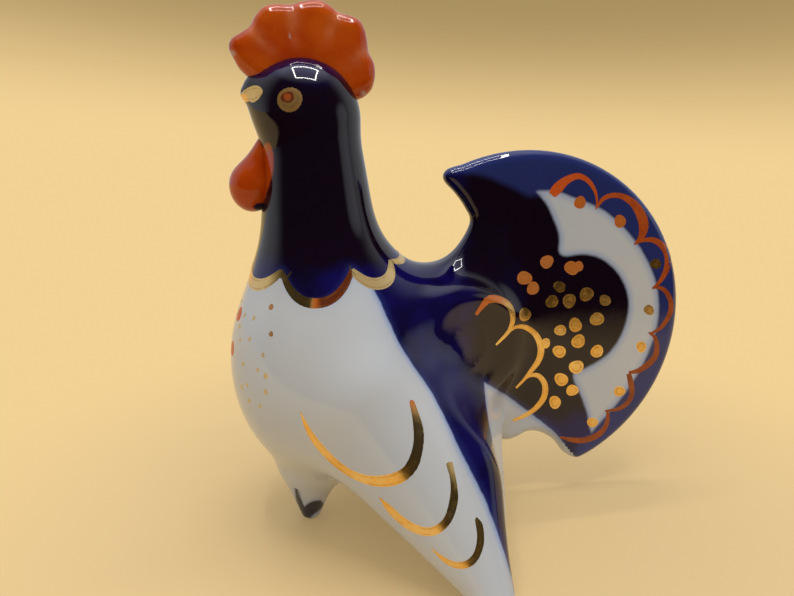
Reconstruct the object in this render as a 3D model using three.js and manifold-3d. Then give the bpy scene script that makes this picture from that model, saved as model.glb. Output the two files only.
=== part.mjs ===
// Porcelain cockerel figurine, modelled in millimetres with +Z up.
// The bird faces -X, its left side is -Y, and it stands on one front foot and two wing tips.
// The soft, blended porcelain form is described by signed distances: negative inside the clay,
// positive outside. The form is turned into closed meshes and cut into its luted pieces.

import * as THREE from 'three';
import { mergeVertices } from 'three/addons/utils/BufferGeometryUtils.js';
import Module from 'manifold-3d';

// Driving sizes, mm
const wall = 3.0;              // porcelain thickness of the hollow body and neck
const seamGap = 0.3;           // clearance between two luted pieces
const ventDiameter = 10;       // drain and firing vent in the belly

const breastX = -40;           // centre of the egg-shaped breast, ahead of mid length
const breastZ = 51;            // height of that centre above the table
const breastLength = 58;
const breastWidth = 52;
const breastHeight = 73;
const saddleRadius = 22;       // the broad round back, from the neck to the tail
const saddleBlend = 10;

const neckRootRadius = 16.5;
const neckTopRadius = 12.4;
const neckRise = 63;           // breast centre up to the top of the neck
const neckLean = 1.6;          // how far the neck leans forward over that rise
const neckBlend = 13;
const headLength = 26.8;
const headWidth = 24;
const headHeight = 24.8;
const headBlend = 6;
const snoutRadius = 9.5;
const snoutTipRadius = 4.2;
const beakLength = 3.7;
const beakRootRadius = 3.0;
const beakTipRadius = 1.3;

const combLength = 36.8;
const combHeight = 33.4;       // with the part that is sunk in the crown
const combThickness = 9.2;
const combRimRadius = 3.9;
const combRise = 9.5;          // head centre up to the centre of the comb
const wattleWidth = 10;

const tailRadius = 51.3;       // round rear edge of the tail fan
const tailCentreX = 17;
const tailCentreZ = 58;
const tailThickness = 6.6;
const tailRootThickness = 16.6;
const tailRimRadius = 3.2;
const tailBlend = 12;

const wingSpan = 92;           // between the centres of the two wing tips
const wingTipX = -6.2;
const wingTipRadius = 3.0;
const wingFlare = 0.16;        // growth of the wing's half thickness per mm from its tip
const wingHeartRadius = 17;    // thickest part of the wing, inside its front face
const wingBlend = 14;
const webRadius = 4.2;         // rear edge of the wing, which runs up into the tail root
const backHollowRadius = 28;   // hollowed back between each wing and the tail

const footX = -48.5;
const footTipRadius = 3.2;
const footRootRadius = 9;
const footHeight = 18;
const footBlend = 12;

const meshStep = 3.9;          // spacing of the grid that the surfaces are read on

// Points that follow from the sizes
const vec = (x, y, z) => new THREE.Vector3(x, y, z);
const alongBreast = (share) => breastX + share * breastLength;
const besideBreast = (share) => -share * breastWidth;
const upBreast = (share) => breastZ + share * breastHeight;

const breastCentre = vec(breastX, 0, breastZ);
const neckRoot = vec(alongBreast(-0.052), 0, upBreast(0.397));
const neckTop = vec(neckRoot.x - neckLean, 0, breastZ + neckRise);
const headCentre = vec(neckTop.x - 0.045 * headLength, 0, neckTop.z + 0.2 * headHeight);
const snoutRoot = vec(headCentre.x - 0.082 * headLength, 0, headCentre.z + 0.04 * headHeight);
const snoutTip = vec(headCentre.x - 0.418 * headLength, 0, headCentre.z + 0.186 * headHeight);
const beakTip = vec(snoutTip.x - beakLength, 0, snoutTip.z - 0.19 * beakLength);
const combCentre = vec(headCentre.x, 0, headCentre.z + combRise);
const wattleCentre = vec(neckTop.x - 0.6 * headLength, 0, neckTop.z - 0.605 * headHeight);
const wattleRoot = vec(wattleCentre.x + 0.41 * wattleWidth, 0, wattleCentre.z + 1.15 * wattleWidth);
const saddleFront = vec(alongBreast(0.069), 0, upBreast(0.041));
const saddleRear = vec(alongBreast(0.534), 0, upBreast(0.034));
const hollowRear = vec(alongBreast(0.31), 0, upBreast(0.041));
const wingTip = vec(wingTipX, -wingSpan / 2, wingTipRadius);
const wingRear = vec(alongBreast(0.534), besideBreast(0.2), upBreast(0.055));
const wingFront = vec(alongBreast(-0.052), besideBreast(0.242), upBreast(-0.11));
const wingHeart = vec(alongBreast(0.138), besideBreast(0.327), upBreast(-0.068));
const webTop = vec(tailCentreX - 0.39 * tailRadius, -webRadius,
  tailCentreZ + 0.039 * tailRadius);
const webFoot = vec(tailCentreX - 0.214 * tailRadius, -0.6 * webRadius,
  tailCentreZ - 0.507 * tailRadius);
const footRoot = vec(footX + 0.028 * footHeight, 0, footHeight);
const footTip = vec(footX, 0, 0.69 * footTipRadius);

// The hollows of the back follow a bent line beside the tail. Each place is a share of the
// tail's radius from its centre, and the clay that is left there as a share of its thickness.
const hollowLine = [[-0.546, 0.292, 2.955], [0, -0.027, 0.909], [0.179, -0.331, 0.697]]
  .map(([x, z, left]) => vec(
    tailCentreX + x * tailRadius,
    -backHollowRadius - left * tailThickness,
    tailCentreZ + z * tailRadius));

// Basic distances

function softMin(a, b, blend) {
  const h = Math.max(blend - Math.abs(a - b), 0) / blend;
  return Math.min(a, b) - (h * h * h * blend) / 6;
}

// Distance from the middle plane, rounded off where it is less than the given width
function softAbs(y, width) {
  const d = Math.abs(y);
  return d < width ? (d * d) / (2 * width) + width / 2 : d;
}

function ellipsoid(p, centre, rx, ry, rz) {
  const x = p.x - centre.x;
  const y = p.y - centre.y;
  const z = p.z - centre.z;
  const near = Math.hypot(x / rx, y / ry, z / rz);
  const slope = Math.hypot(x / (rx * rx), y / (ry * ry), z / (rz * rz));
  return (near * (near - 1)) / Math.max(slope, 1e-9);
}

// Solid swept by a ball that shrinks or grows from radius ra at a to radius rb at b
function roundCone(p, a, b, ra, rb) {
  const axis = new THREE.Vector3().subVectors(b, a);
  const toPoint = new THREE.Vector3().subVectors(p, a);
  const l2 = axis.lengthSq();
  const rr = ra - rb;
  const a2 = l2 - rr * rr;
  const y = toPoint.dot(axis);
  const z = y - l2;
  const x2 = toPoint.clone().multiplyScalar(l2).addScaledVector(axis, -y).lengthSq();
  const y2 = y * y * l2;
  const z2 = z * z * l2;
  const k = Math.sign(rr) * rr * rr * x2;
  if (Math.sign(z) * a2 * z2 > k) return Math.sqrt(x2 + z2) / l2 - rb;
  if (Math.sign(y) * a2 * y2 < k) return Math.sqrt(x2 + y2) / l2 - ra;
  return (Math.sqrt((x2 * a2) / l2) + y * rr) / l2 - ra;
}

// Distance to a flat triangle in space
const flat = new THREE.Triangle();
const onFlat = new THREE.Vector3();
function triangleDistance(p, a, b, c) {
  flat.set(a, b, c);
  flat.closestPointToPoint(p, onFlat);
  return onFlat.distanceTo(p);
}

// Signed distance to a closed outline in the XZ plane
function outlineDistance(x, z, points) {
  let nearest = Infinity;
  let inside = false;
  for (let i = 0, j = points.length - 1; i < points.length; j = i, i += 1) {
    const a = points[i];
    const b = points[j];
    const ex = b.x - a.x;
    const ez = b.y - a.y;
    const wx = x - a.x;
    const wz = z - a.y;
    const t = THREE.MathUtils.clamp((wx * ex + wz * ez) / (ex * ex + ez * ez), 0, 1);
    nearest = Math.min(nearest, Math.hypot(wx - ex * t, wz - ez * t));
    if (a.y > z !== b.y > z && x < (ex * wz) / ez + a.x) inside = !inside;
  }
  return inside ? -nearest : nearest;
}

// Breast, saddle, neck and head

function breastField(p) {
  return ellipsoid(p, breastCentre, breastLength / 2, breastWidth / 2, breastHeight / 2);
}

function saddleField(p) {
  return roundCone(p, saddleFront, saddleRear, saddleRadius, saddleRadius);
}

function neckField(p) {
  return roundCone(p, neckRoot, neckTop, neckRootRadius, neckTopRadius);
}

function headField(p) {
  const skull = ellipsoid(p, headCentre, headLength / 2, headWidth / 2, headHeight / 2);
  const snout = roundCone(p, snoutRoot, snoutTip, snoutRadius, snoutTipRadius);
  const beak = roundCone(p, snoutTip, beakTip, beakRootRadius, beakTipRadius);
  return softMin(softMin(skull, snout, 0.84 * snoutRadius), beak, 0.83 * beakRootRadius);
}

// A plate with a rounded rim, from the flat distance to its outline
function roundedPlate(flatDistance, y, half, rimRadius) {
  const u = flatDistance + rimRadius;
  const v = Math.abs(y) - half + rimRadius;
  return Math.min(Math.max(u, v), 0) + Math.hypot(Math.max(u, 0), Math.max(v, 0)) - rimRadius;
}

// Tail fan: a flat plate with a rounded rim that thickens towards its root

function tailOutline() {
  const upper = THREE.MathUtils.degToRad(117);
  const lower = THREE.MathUtils.degToRad(-62);
  const place = ([x, z]) => new THREE.Vector2(
    tailCentreX + x * tailRadius, tailCentreZ + z * tailRadius);
  const rim = new THREE.EllipseCurve(
    tailCentreX, tailCentreZ, tailRadius, tailRadius, upper, lower, true).getPoints(36);
  // notch under the root, down to the plate's hidden front inside the body
  const notch = new THREE.SplineCurve([
    rim[36], place([0.402, -0.904]), place([0.322, -0.862]), place([0.246, -0.768]),
    place([0.146, -0.706]), place([0.06, -0.694]), place([-0.01, -0.725]),
    place([-0.097, -0.731]), place([-0.253, -0.624]), place([-0.468, -0.429]),
  ]).getPoints(24);
  // saddle line and the forward horn
  const saddle = new THREE.SplineCurve([
    place([-0.916, 0.039]), place([-0.916, 0.234]), place([-0.76, 0.273]),
    place([-0.622, 0.288]), place([-0.507, 0.339]), place([-0.421, 0.433]),
    place([-0.329, 0.6]), place([-0.349, 0.69]), place([-0.402, 0.772]),
    place([-0.464, 0.83]), place([-0.48, 0.875]), rim[0],
  ]).getPoints(33);
  return [...rim, ...notch.slice(1), ...saddle.slice(0, -1)];
}

const tailPoints = tailOutline();

function tailField(p) {
  const fromRoot = Math.hypot(
    p.x - tailCentreX + 0.409 * tailRadius, p.z - tailCentreZ + 0.039 * tailRadius);
  const thinning = THREE.MathUtils.clamp(fromRoot / (0.663 * tailRadius) - 0.176, 0, 1);
  const extra = (tailRootThickness - tailThickness) / 2;
  const half = tailThickness / 2 + extra * (1 - thinning) * (1 - thinning);
  return roundedPlate(outlineDistance(p.x, p.z, tailPoints), p.y, half, tailRimRadius);
}

// Wings: flared horns that run from the breast and saddle down to the tips on the table,
// each with a thin rear edge that runs up into the root of the tail

function wingField(p) {
  const side = vec(p.x, -softAbs(p.y, 0.154 * breastWidth), p.z);
  const plate = triangleDistance(side, wingTip, wingRear, wingFront);
  const half = wingTipRadius + wingFlare * side.distanceTo(wingTip);
  const heart = roundCone(side, wingHeart, wingTip, wingHeartRadius, wingTipRadius);
  const front = softMin(plate - half, heart, 0.47 * wingHeartRadius);
  const web = triangleDistance(side, wingTip, webTop, webFoot) - webRadius;
  return softMin(softMin(front, saddleField(p), saddleBlend), web, 1.2 * webRadius);
}

// Hollowed back on both sides of the tail root: positive where clay may stay
function backHollow(p) {
  const side = vec(p.x, -Math.abs(p.y), p.z);
  const upper = roundCone(side, hollowLine[0], hollowLine[1], backHollowRadius, backHollowRadius);
  const lower = roundCone(side, hollowLine[1], hollowLine[2], backHollowRadius, backHollowRadius);
  return softMin(upper, lower, 0.143 * backHollowRadius);
}

function hollowed(d, p) {
  return -softMin(-d, backHollow(p), 0.179 * backHollowRadius);
}

function footField(p) {
  return roundCone(p, footRoot, footTip, footRootRadius, footTipRadius);
}

// The hollow part of the clay follows the breast, the front of the saddle, the neck and skull
function coreField(p) {
  const saddle = roundCone(p, saddleFront, hollowRear, saddleRadius, saddleRadius);
  let d = hollowed(softMin(breastField(p), saddle, saddleBlend), p);
  d = softMin(d, neckField(p), neckBlend);
  return softMin(d, headField(p), headBlend);
}

function skinField(p) {
  let d = hollowed(softMin(breastField(p), wingField(p), wingBlend), p);
  d = softMin(d, neckField(p), neckBlend);
  d = softMin(d, headField(p), headBlend);
  d = softMin(d, tailField(p), tailBlend);
  return softMin(d, footField(p), footBlend);
}

// Comb: a thick plate on the crown with a rounded, scalloped rim. The outline runs from the
// front tip over the crown to the nape and back inside the head. Places are shares of the
// comb's length and height from its centre.

function combOutline() {
  const place = ([x, z]) => new THREE.Vector2(
    combCentre.x + x * combLength, combCentre.z + z * combHeight);
  return new THREE.SplineCurve([
    [0, -0.195], [-0.277, -0.135], [-0.424, -0.021], [-0.473, 0.06], [-0.505, 0.15],
    [-0.481, 0.213], [-0.421, 0.254], [-0.359, 0.305], [-0.318, 0.377], [-0.258, 0.44],
    [-0.179, 0.461], [-0.095, 0.464], [-0.035, 0.479], [0.049, 0.5], [0.125, 0.5],
    [0.188, 0.467], [0.245, 0.428], [0.313, 0.407], [0.386, 0.377], [0.424, 0.314],
    [0.44, 0.234], [0.451, 0.153], [0.486, 0.072], [0.495, -0.021], [0.47, -0.12],
    [0.418, -0.177], [0.37, -0.2], [0.266, -0.24], [0, -0.195],
  ].map(place)).getPoints(112).slice(0, -1);
}

const combPoints = combOutline();

function combField(p) {
  const flatDistance = outlineDistance(p.x, p.z, combPoints);
  return roundedPlate(flatDistance, p.y, combThickness / 2, combRimRadius);
}

function wattleField(p) {
  const drop = ellipsoid(
    p, wattleCentre, 0.56 * wattleWidth, wattleWidth / 2, 0.62 * wattleWidth);
  const above = vec(wattleCentre.x + 0.04 * wattleWidth, 0, wattleCentre.z + 0.2 * wattleWidth);
  const stem = roundCone(p, above, wattleRoot, 0.46 * wattleWidth, 0.22 * wattleWidth);
  return softMin(drop, stem, wattleWidth / 2);
}

// Reading a closed surface from a field: a vertex in each grid cell that the surface crosses,
// pulled onto the surface, and one face across each grid edge that changes sign. A cell that
// holds two separate patches of surface gets a vertex for each.

const corners = [];
for (let c = 0; c < 8; c += 1) corners.push([c & 1, (c >> 1) & 1, (c >> 2) & 1]);

const cellEdges = [];
for (let a = 0; a < 8; a += 1) {
  for (const bit of [1, 2, 4]) {
    if (!(a & bit)) cellEdges.push([a, a | bit]);
  }
}

// Groups of a cell's corners on one side of the surface that the cell's edges connect
function cornerGroups(signs, wanted) {
  const group = new Array(8).fill(-1);
  let groups = 0;
  for (let start = 0; start < 8; start += 1) {
    if (signs[start] !== wanted || group[start] >= 0) continue;
    const queue = [start];
    group[start] = groups;
    while (queue.length) {
      const c = queue.pop();
      for (const bit of [1, 2, 4]) {
        const next = c ^ bit;
        if (signs[next] === wanted && group[next] < 0) {
          group[next] = groups;
          queue.push(next);
        }
      }
    }
    groups += 1;
  }
  return { group, groups };
}

// A grid square whose corners lie inside and outside in turns could be read two ways. The
// outer corner nearest to the surface is counted as inside, until no such square is left.
function settleSquares(value, stride, step) {
  let changed = true;
  while (changed) {
    changed = false;
    for (let here = 0; here < value.length; here += 1) {
      for (let axis = 0; axis < 3; axis += 1) {
        const u = stride[(axis + 1) % 3];
        const v = stride[(axis + 2) % 3];
        if (here + u + v >= value.length) continue;
        const square = [here, here + u, here + u + v, here + v];
        const inside = square.map((c) => value[c] < 0);
        if (inside[0] !== inside[2] || inside[1] !== inside[3] || inside[0] === inside[1]) continue;
        const outer = square.filter((c, n) => !inside[n]);
        outer.sort((a, b) => value[a] - value[b]);
        value[outer[0]] = -0.01 * step;
        changed = true;
      }
    }
  }
}

function surfaceOf(field, low, high, step) {
  const [nx, ny, nz] = [0, 1, 2].map((k) =>
    Math.ceil((high.getComponent(k) - low.getComponent(k)) / step) + 3);
  const at = (i, j, k) => vec(
    low.x + (i - 1.5) * step, low.y + (j - 1.5) * step, low.z + (k - 1.5) * step);
  const stride = [1, nx, nx * ny];
  const id = (i, j, k) => i + nx * (j + ny * k);
  const value = new Float64Array(nx * ny * nz);
  for (let k = 0; k < nz; k += 1) {
    for (let j = 0; j < ny; j += 1) {
      for (let i = 0; i < nx; i += 1) {
        value[id(i, j, k)] = field(at(i, j, k));
      }
    }
  }
  settleSquares(value, stride, step);
  const vertexAt = new Int32Array(value.length * 8).fill(-1);
  const positions = [];
  for (let k = 0; k < nz - 1; k += 1) {
    for (let j = 0; j < ny - 1; j += 1) {
      for (let i = 0; i < nx - 1; i += 1) {
        const cell = id(i, j, k);
        const values = corners.map(([x, y, z]) => value[cell + x + y * stride[1] + z * stride[2]]);
        const signs = values.map((v) => v < 0);
        if (signs.every((q) => q === signs[0])) continue;
        const inner = cornerGroups(signs, true);
        const chosen = inner.groups > 1 ? inner : cornerGroups(signs, false);
        for (let g = 0; g < chosen.groups; g += 1) {
          const sum = vec(0, 0, 0);
          let crossings = 0;
          for (const [a, b] of cellEdges) {
            if (signs[a] === signs[b]) continue;
            if (chosen.group[a] !== g && chosen.group[b] !== g) continue;
            const t = values[a] / (values[a] - values[b]);
            sum.add(at(
              i + corners[a][0] + (corners[b][0] - corners[a][0]) * t,
              j + corners[a][1] + (corners[b][1] - corners[a][1]) * t,
              k + corners[a][2] + (corners[b][2] - corners[a][2]) * t));
            crossings += 1;
          }
          const placed = settle(field, sum.divideScalar(crossings), step * 0.45);
          for (let c = 0; c < 8; c += 1) {
            if (chosen.group[c] === g) vertexAt[cell * 8 + c] = positions.length / 3;
          }
          positions.push(placed.x, placed.y, placed.z);
        }
      }
    }
  }
  const faces = [];
  const around = [[1, 1], [0, 1], [0, 0], [1, 0]];
  for (let k = 1; k < nz - 1; k += 1) {
    for (let j = 1; j < ny - 1; j += 1) {
      for (let i = 1; i < nx - 1; i += 1) {
        const here = id(i, j, k);
        for (let axis = 0; axis < 3; axis += 1) {
          if (value[here] < 0 === value[here + stride[axis]] < 0) continue;
          const second = (axis + 1) % 3;
          const third = (axis + 2) % 3;
          const quad = around.map(([u, v]) => {
            const cell = here - u * stride[second] - v * stride[third];
            const corner = (u << second) | (v << third);
            const found = vertexAt[cell * 8 + corner];
            return found < 0 ? vertexAt[cell * 8 + (corner | (1 << axis))] : found;
          });
          if (value[here] >= 0) quad.reverse();
          faces.push(quad[0], quad[1], quad[2], quad[0], quad[2], quad[3]);
        }
      }
    }
  }
  const geometry = new THREE.BufferGeometry();
  geometry.setAttribute('position', new THREE.Float32BufferAttribute(positions, 3));
  geometry.setIndex(faces);
  return geometry;
}

function slopeAt(field, p) {
  const h = 0.005 * meshStep;
  const slope = new THREE.Vector3();
  for (let k = 0; k < 3; k += 1) {
    const forward = p.clone();
    const backward = p.clone();
    forward.setComponent(k, p.getComponent(k) + h);
    backward.setComponent(k, p.getComponent(k) - h);
    slope.setComponent(k, (field(forward) - field(backward)) / (2 * h));
  }
  return slope;
}

// Moves a point onto the surface along the slope of the field, at most the given distance
function settle(field, start, limit) {
  const p = start.clone();
  for (let turn = 0; turn < 4; turn += 1) {
    const slope = slopeAt(field, p);
    p.addScaledVector(slope, -field(p) / Math.max(slope.lengthSq(), 0.05));
  }
  const moved = p.clone().sub(start);
  return moved.length() > limit ? start.clone().addScaledVector(moved.normalize(), limit) : p;
}

// Joining and cutting

const wasm = await Module();
wasm.setup();

function solid(geometry) {
  const bare = geometry.clone();
  bare.deleteAttribute('normal');
  bare.deleteAttribute('uv');
  const merged = mergeVertices(bare, 1e-4);
  return new wasm.Manifold(new wasm.Mesh({
    numProp: 3,
    vertProperties: new Float32Array(merged.attributes.position.array),
    triVerts: new Uint32Array(merged.index.array),
  }));
}

// A block that fills one side of a plane, from the point on in the outward direction
function halfSpace(point, direction, offset = 0) {
  const size = 8 * tailRadius;
  const block = new THREE.BoxGeometry(size, size, size);
  const outward = direction.clone().normalize();
  block.translate(0, 0, size / 2);
  block.applyQuaternion(
    new THREE.Quaternion().setFromUnitVectors(vec(0, 0, 1), outward));
  const base = point.clone().addScaledVector(outward, offset);
  block.translate(base.x, base.y, base.z);
  return solid(block);
}

// Cuts leave some very short edges. Each is drawn together into one vertex where that keeps
// the surface closed.
function drawTogether(points, triangles, shortest) {
  const facesAt = points.map(() => new Set());
  triangles.forEach((t, f) => t.forEach((v) => facesAt[v].add(f)));
  const ring = (v) => new Set([...facesAt[v]].flatMap((f) => triangles[f]).filter((n) => n !== v));
  let drawn = 0;
  for (let f = 0; f < triangles.length; f += 1) {
    for (let e = 0; e < 3 && triangles[f]; e += 1) {
      const keep = triangles[f][e];
      const drop = triangles[f][(e + 1) % 3];
      if (points[keep].distanceTo(points[drop]) > shortest) continue;
      const around = ring(drop);
      if ([...ring(keep)].filter((n) => around.has(n)).length !== 2) continue;
      for (const g of [...facesAt[drop]]) {
        const t = triangles[g];
        if (t.includes(keep)) {
          t.forEach((v) => facesAt[v].delete(g));
          triangles[g] = null;
        } else {
          t[t.indexOf(drop)] = keep;
          facesAt[keep].add(g);
        }
      }
      facesAt[drop].clear();
      drawn += 1;
      break;
    }
  }
  return drawn;
}

function geometryOf(manifold) {
  const mesh = manifold.getMesh();
  const points = [];
  for (let v = 0; v < mesh.vertProperties.length; v += 3) {
    points.push(vec(0, 0, 0).fromArray(mesh.vertProperties, v));
  }
  let triangles = [];
  for (let t = 0; t < mesh.triVerts.length; t += 3) {
    triangles.push([...mesh.triVerts.slice(t, t + 3)]);
  }
  const shortest = 0.031 * meshStep;
  while (drawTogether(points, triangles, shortest)) triangles = triangles.filter((t) => t);
  const geometry = new THREE.BufferGeometry();
  geometry.setAttribute(
    'position', new THREE.Float32BufferAttribute(points.flatMap((q) => q.toArray()), 3));
  geometry.setIndex(triangles.filter((t) => t).flat());
  return mergeVertices(geometry, 1e-4);
}

// The whole skin and the hollow inside it
const margin = 2 * meshStep;
const halfSpan = wingSpan / 2 + wingTipRadius + margin;
const rear = tailCentreX + tailRadius + margin;
const front = breastX - breastLength / 2 - margin;
const crown = combCentre.z + combHeight / 2 + margin;
const skinLow = vec(front, -halfSpan, -margin);
const skinHigh = vec(rear, halfSpan, crown);
const table = halfSpace(vec(0, 0, 0), vec(0, 0, 1));
const skin = solid(surfaceOf(skinField, skinLow, skinHigh, meshStep)).intersect(table);
const hollow = solid(surfaceOf((p) => coreField(p) + wall, skinLow, skinHigh, meshStep * 1.4));

const vent = new THREE.CylinderGeometry(ventDiameter / 2, ventDiameter / 2, breastZ, 24);
vent.rotateX(Math.PI / 2);
vent.translate(alongBreast(0.138), 0, breastZ / 2);
const shell = skin.subtract(hollow).subtract(solid(vent));

// Seams where the pieces are luted together
const tailSeam = {
  point: vec(tailCentreX - 0.41 * tailRadius, 0, tailCentreZ + 0.518 * tailRadius),
  direction: vec(0.954, 0, 0.3),
};
const collarSeam = {
  point: vec(neckRoot.x, 0, neckRoot.z - 0.06 * neckRootRadius),
  direction: vec(-0.1, 0, 1),
};
const neckBack = {
  point: vec(neckRoot.x + 1.7 * neckRootRadius, 0, 0),
  direction: vec(-1, 0, 0),
};
const footSeam = {
  point: vec(0, 0, 0.67 * footHeight),
  direction: vec(0, 0, -1),
};
const footBack = {
  point: vec(footX + 1.55 * footRootRadius, 0, 0),
  direction: vec(-1, 0, 0),
};
const wingSeam = (side) => ({
  point: vec(
    wingHeart.x + 0.172 * breastLength, side * 0.46 * breastWidth,
    wingHeart.z - 0.164 * breastHeight),
  direction: vec(0.15, side * 0.83, -0.54),
});
const half = seamGap / 2;
const beyond = (seam, offset) => halfSpace(seam.point, seam.direction, offset);

const tail = shell.intersect(beyond(tailSeam, half));
const forward = shell.subtract(beyond(tailSeam, -half));
const neckZone = (offset) => beyond(collarSeam, offset).intersect(beyond(neckBack, 0));
const neckAndHead = forward.intersect(neckZone(half));
const leftWing = forward.intersect(beyond(wingSeam(-1), half));
const rightWing = forward.intersect(beyond(wingSeam(1), half));
const footZone = (offset) => beyond(footSeam, offset).intersect(beyond(footBack, 0));
const body = forward
  .subtract(neckZone(-half))
  .subtract(beyond(wingSeam(-1), -half))
  .subtract(beyond(wingSeam(1), -half))
  .subtract(footZone(-half));

// The small foot is read on a finer grid, which holds its flat sole
const footReach = 1.4 * footHeight;
const footSkin = (p) => Math.max(skinField(p), p.distanceTo(footTip) - footReach);
const footLow = footTip.clone().addScalar(-footReach - margin);
const footHigh = footTip.clone().addScalar(footReach + margin);
const foot = solid(surfaceOf(footSkin, footLow, footHigh, meshStep * 0.45))
  .intersect(table)
  .intersect(footZone(half));

// The comb and the wattle are cut to sit on the head and throat with the seam gap
const coverReach = 1.5 * headLength;
const headCover = (p) => Math.max(skinField(p) - seamGap, p.distanceTo(headCentre) - coverReach);
const coverLow = headCentre.clone().addScalar(-coverReach - margin);
const coverHigh = headCentre.clone().addScalar(coverReach + margin);
const cover = solid(surfaceOf(headCover, coverLow, coverHigh, meshStep * 0.75));
const combReach = vec(0.75 * combLength, 1.1 * combThickness, 0.75 * combHeight);
const combLow = combCentre.clone().sub(combReach);
const combHigh = combCentre.clone().add(combReach);
const comb = solid(surfaceOf(combField, combLow, combHigh, meshStep * 0.7)).subtract(cover);
const wattleLow = wattleCentre.clone().addScalar(-1.6 * wattleWidth);
const wattleHigh = wattleCentre.clone().addScalar(2 * wattleWidth);
const wattle = solid(surfaceOf(wattleField, wattleLow, wattleHigh, meshStep * 0.6))
  .subtract(cover);

// Colours and finish of the glazed pieces
function glaze(colour, roughness) {
  return new THREE.MeshStandardMaterial({ color: colour, roughness, metalness: 0 });
}
const cobalt = 0x10104a;
const white = 0xe4dfd6;
const orangeRed = 0xb8400a;

const pieces = [
  ['body_shell', body, glaze(white, 0.12)],
  ['neck_and_head', neckAndHead, glaze(cobalt, 0.1)],
  ['comb', comb, glaze(orangeRed, 0.22)],
  ['wattle', wattle, glaze(orangeRed, 0.2)],
  ['tail_fan', tail, glaze(cobalt, 0.1)],
  ['left_wing', leftWing, glaze(white, 0.12)],
  ['right_wing', rightWing, glaze(white, 0.12)],
  ['front_foot', foot, glaze(white, 0.12)],
];

const figurine = new THREE.Group();
figurine.name = 'porcelain_cockerel';
const extent = new THREE.Box3();
for (const [name, manifold, material] of pieces) {
  const mesh = new THREE.Mesh(geometryOf(manifold), material);
  mesh.name = name;
  mesh.geometry.computeBoundingBox();
  extent.union(mesh.geometry.boundingBox);
  figurine.add(mesh);
}

// The origin lies on the table under the middle of the figurine
const middle = extent.getCenter(new THREE.Vector3());
for (const mesh of figurine.children) {
  mesh.geometry.translate(-middle.x, -middle.y, -extent.min.z);
}

export default figurine;
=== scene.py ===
"""Looks of the porcelain cockerel.

Lengths are millimetres in the figurine's own frame: X towards the tail, near side at -Y, Z up,
table at Z = 0. Pieces are moved into the row frame and scaled to metres when they are made.
The form is a signed distance: negative inside the clay, positive outside.
"""

import bmesh
import bpy
import numpy as np
from mathutils import Matrix, Vector


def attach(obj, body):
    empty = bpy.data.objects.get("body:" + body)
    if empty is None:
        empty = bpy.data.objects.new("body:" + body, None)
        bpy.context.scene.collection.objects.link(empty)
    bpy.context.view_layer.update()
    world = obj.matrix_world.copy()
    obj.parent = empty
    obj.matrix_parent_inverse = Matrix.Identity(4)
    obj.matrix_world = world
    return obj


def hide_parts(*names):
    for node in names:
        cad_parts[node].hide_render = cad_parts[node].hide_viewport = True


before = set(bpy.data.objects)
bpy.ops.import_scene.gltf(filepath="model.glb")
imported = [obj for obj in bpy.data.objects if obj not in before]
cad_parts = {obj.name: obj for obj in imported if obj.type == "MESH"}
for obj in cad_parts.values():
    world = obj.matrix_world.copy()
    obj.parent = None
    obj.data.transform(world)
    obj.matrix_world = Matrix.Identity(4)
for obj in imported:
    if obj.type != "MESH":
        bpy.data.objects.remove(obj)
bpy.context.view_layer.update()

# Row frame: the figurine's frame moved so that the origin is under the middle of its length
SHIFT = np.array([0.694, -0.015, 0.0])
MM = 0.001

# Camera, found from the photograph
PHOTO_WIDTH, PHOTO_HEIGHT = 794, 596
FOCAL_PX = 560.0
CAMERA_AZIMUTH, CAMERA_PITCH = 10.0, 13.0
CAMERA_PLACE = np.array([-49.1, -155.9, 104.05])

GRID, COMB_GRID = 1.0, 0.8      # spacing of the grids that the surfaces are read on

rng = np.random.default_rng(7)

# The form. Ellipsoids: centre, radii. Round cones: from, to, radius at each end.

BREAST = (-40.0, 0.0, 51.0), (29.0, 26.0, 36.5)
SADDLE = (-36.0, 0.0, 54.0), (-9.0, 0.0, 53.5), 22.0, 22.0
NECK = (-43.0, 0.0, 80.0), (-44.6, 0.0, 114.0), 16.5, 12.4
HEAD = (-45.8, 0.0, 119.0), (13.4, 12.0, 12.4)
SNOUT = (-48.0, 0.0, 120.0), (-57.0, 0.0, 123.6), 9.5, 4.2
BEAK = (-57.0, 0.0, 123.6), (-60.7, 0.0, 122.9), 3.0, 1.3
WATTLE = (-60.7, 0.0, 99.0), (5.6, 6.2, 6.2)
WATTLE_STEM = (-60.3, 0.0, 101.0), (-56.6, 0.0, 110.5), 4.6, 2.2
FOOT = (-48.0, 0.0, 18.0), (-48.5, 0.0, 2.2), 9.0, 3.2
VENT = (-32.0, 0.0, 0.0), (-32.0, 0.0, 26.0), 5.0, 4.99
WING_TIP, WING_TIP_HALF = np.array([-6.2, -46.0, 3.0]), 3.0     # half of the thickness there
WING = WING_TIP, np.array([-9.0, -10.4, 55.0]), np.array([-43.0, -12.6, 43.0])
WING_SPREAD = 0.16          # how fast the half thickness grows from the tip
WING_HEART = (-32.0, -17.0, 46.0), WING_TIP, 17.0, WING_TIP_HALF
WEB = WING_TIP, np.array([-3.0, -4.2, 60.0]), np.array([6.0, -2.5, 32.0])
WEB_HALF = 4.2
HOLLOWS = [                 # carved out behind the wing
    ((-11.0, -47.5, 73.0), (17.0, -34.0, 56.6), 28.0, 28.0),
    ((17.0, -34.0, 56.6), (26.2, -32.6, 41.0), 28.0, 28.0),
]
COMB_HALF, COMB_RIM = 4.6, 3.9
GROOVE_DEPTH, GROOVE_WIDTH = 0.3, 1.5
TAIL_CENTRE, TAIL_RADIUS = (17.0, 58.0), 51.3
TAIL_HALF, TAIL_ROOT_SWELL, TAIL_RIM = 3.3, 5.0, 3.2
TAIL_ROOT, ROOT_REACH = (-4.0, 56.0), (6.0, 40.0)   # where the tail swells, and how far


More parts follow.
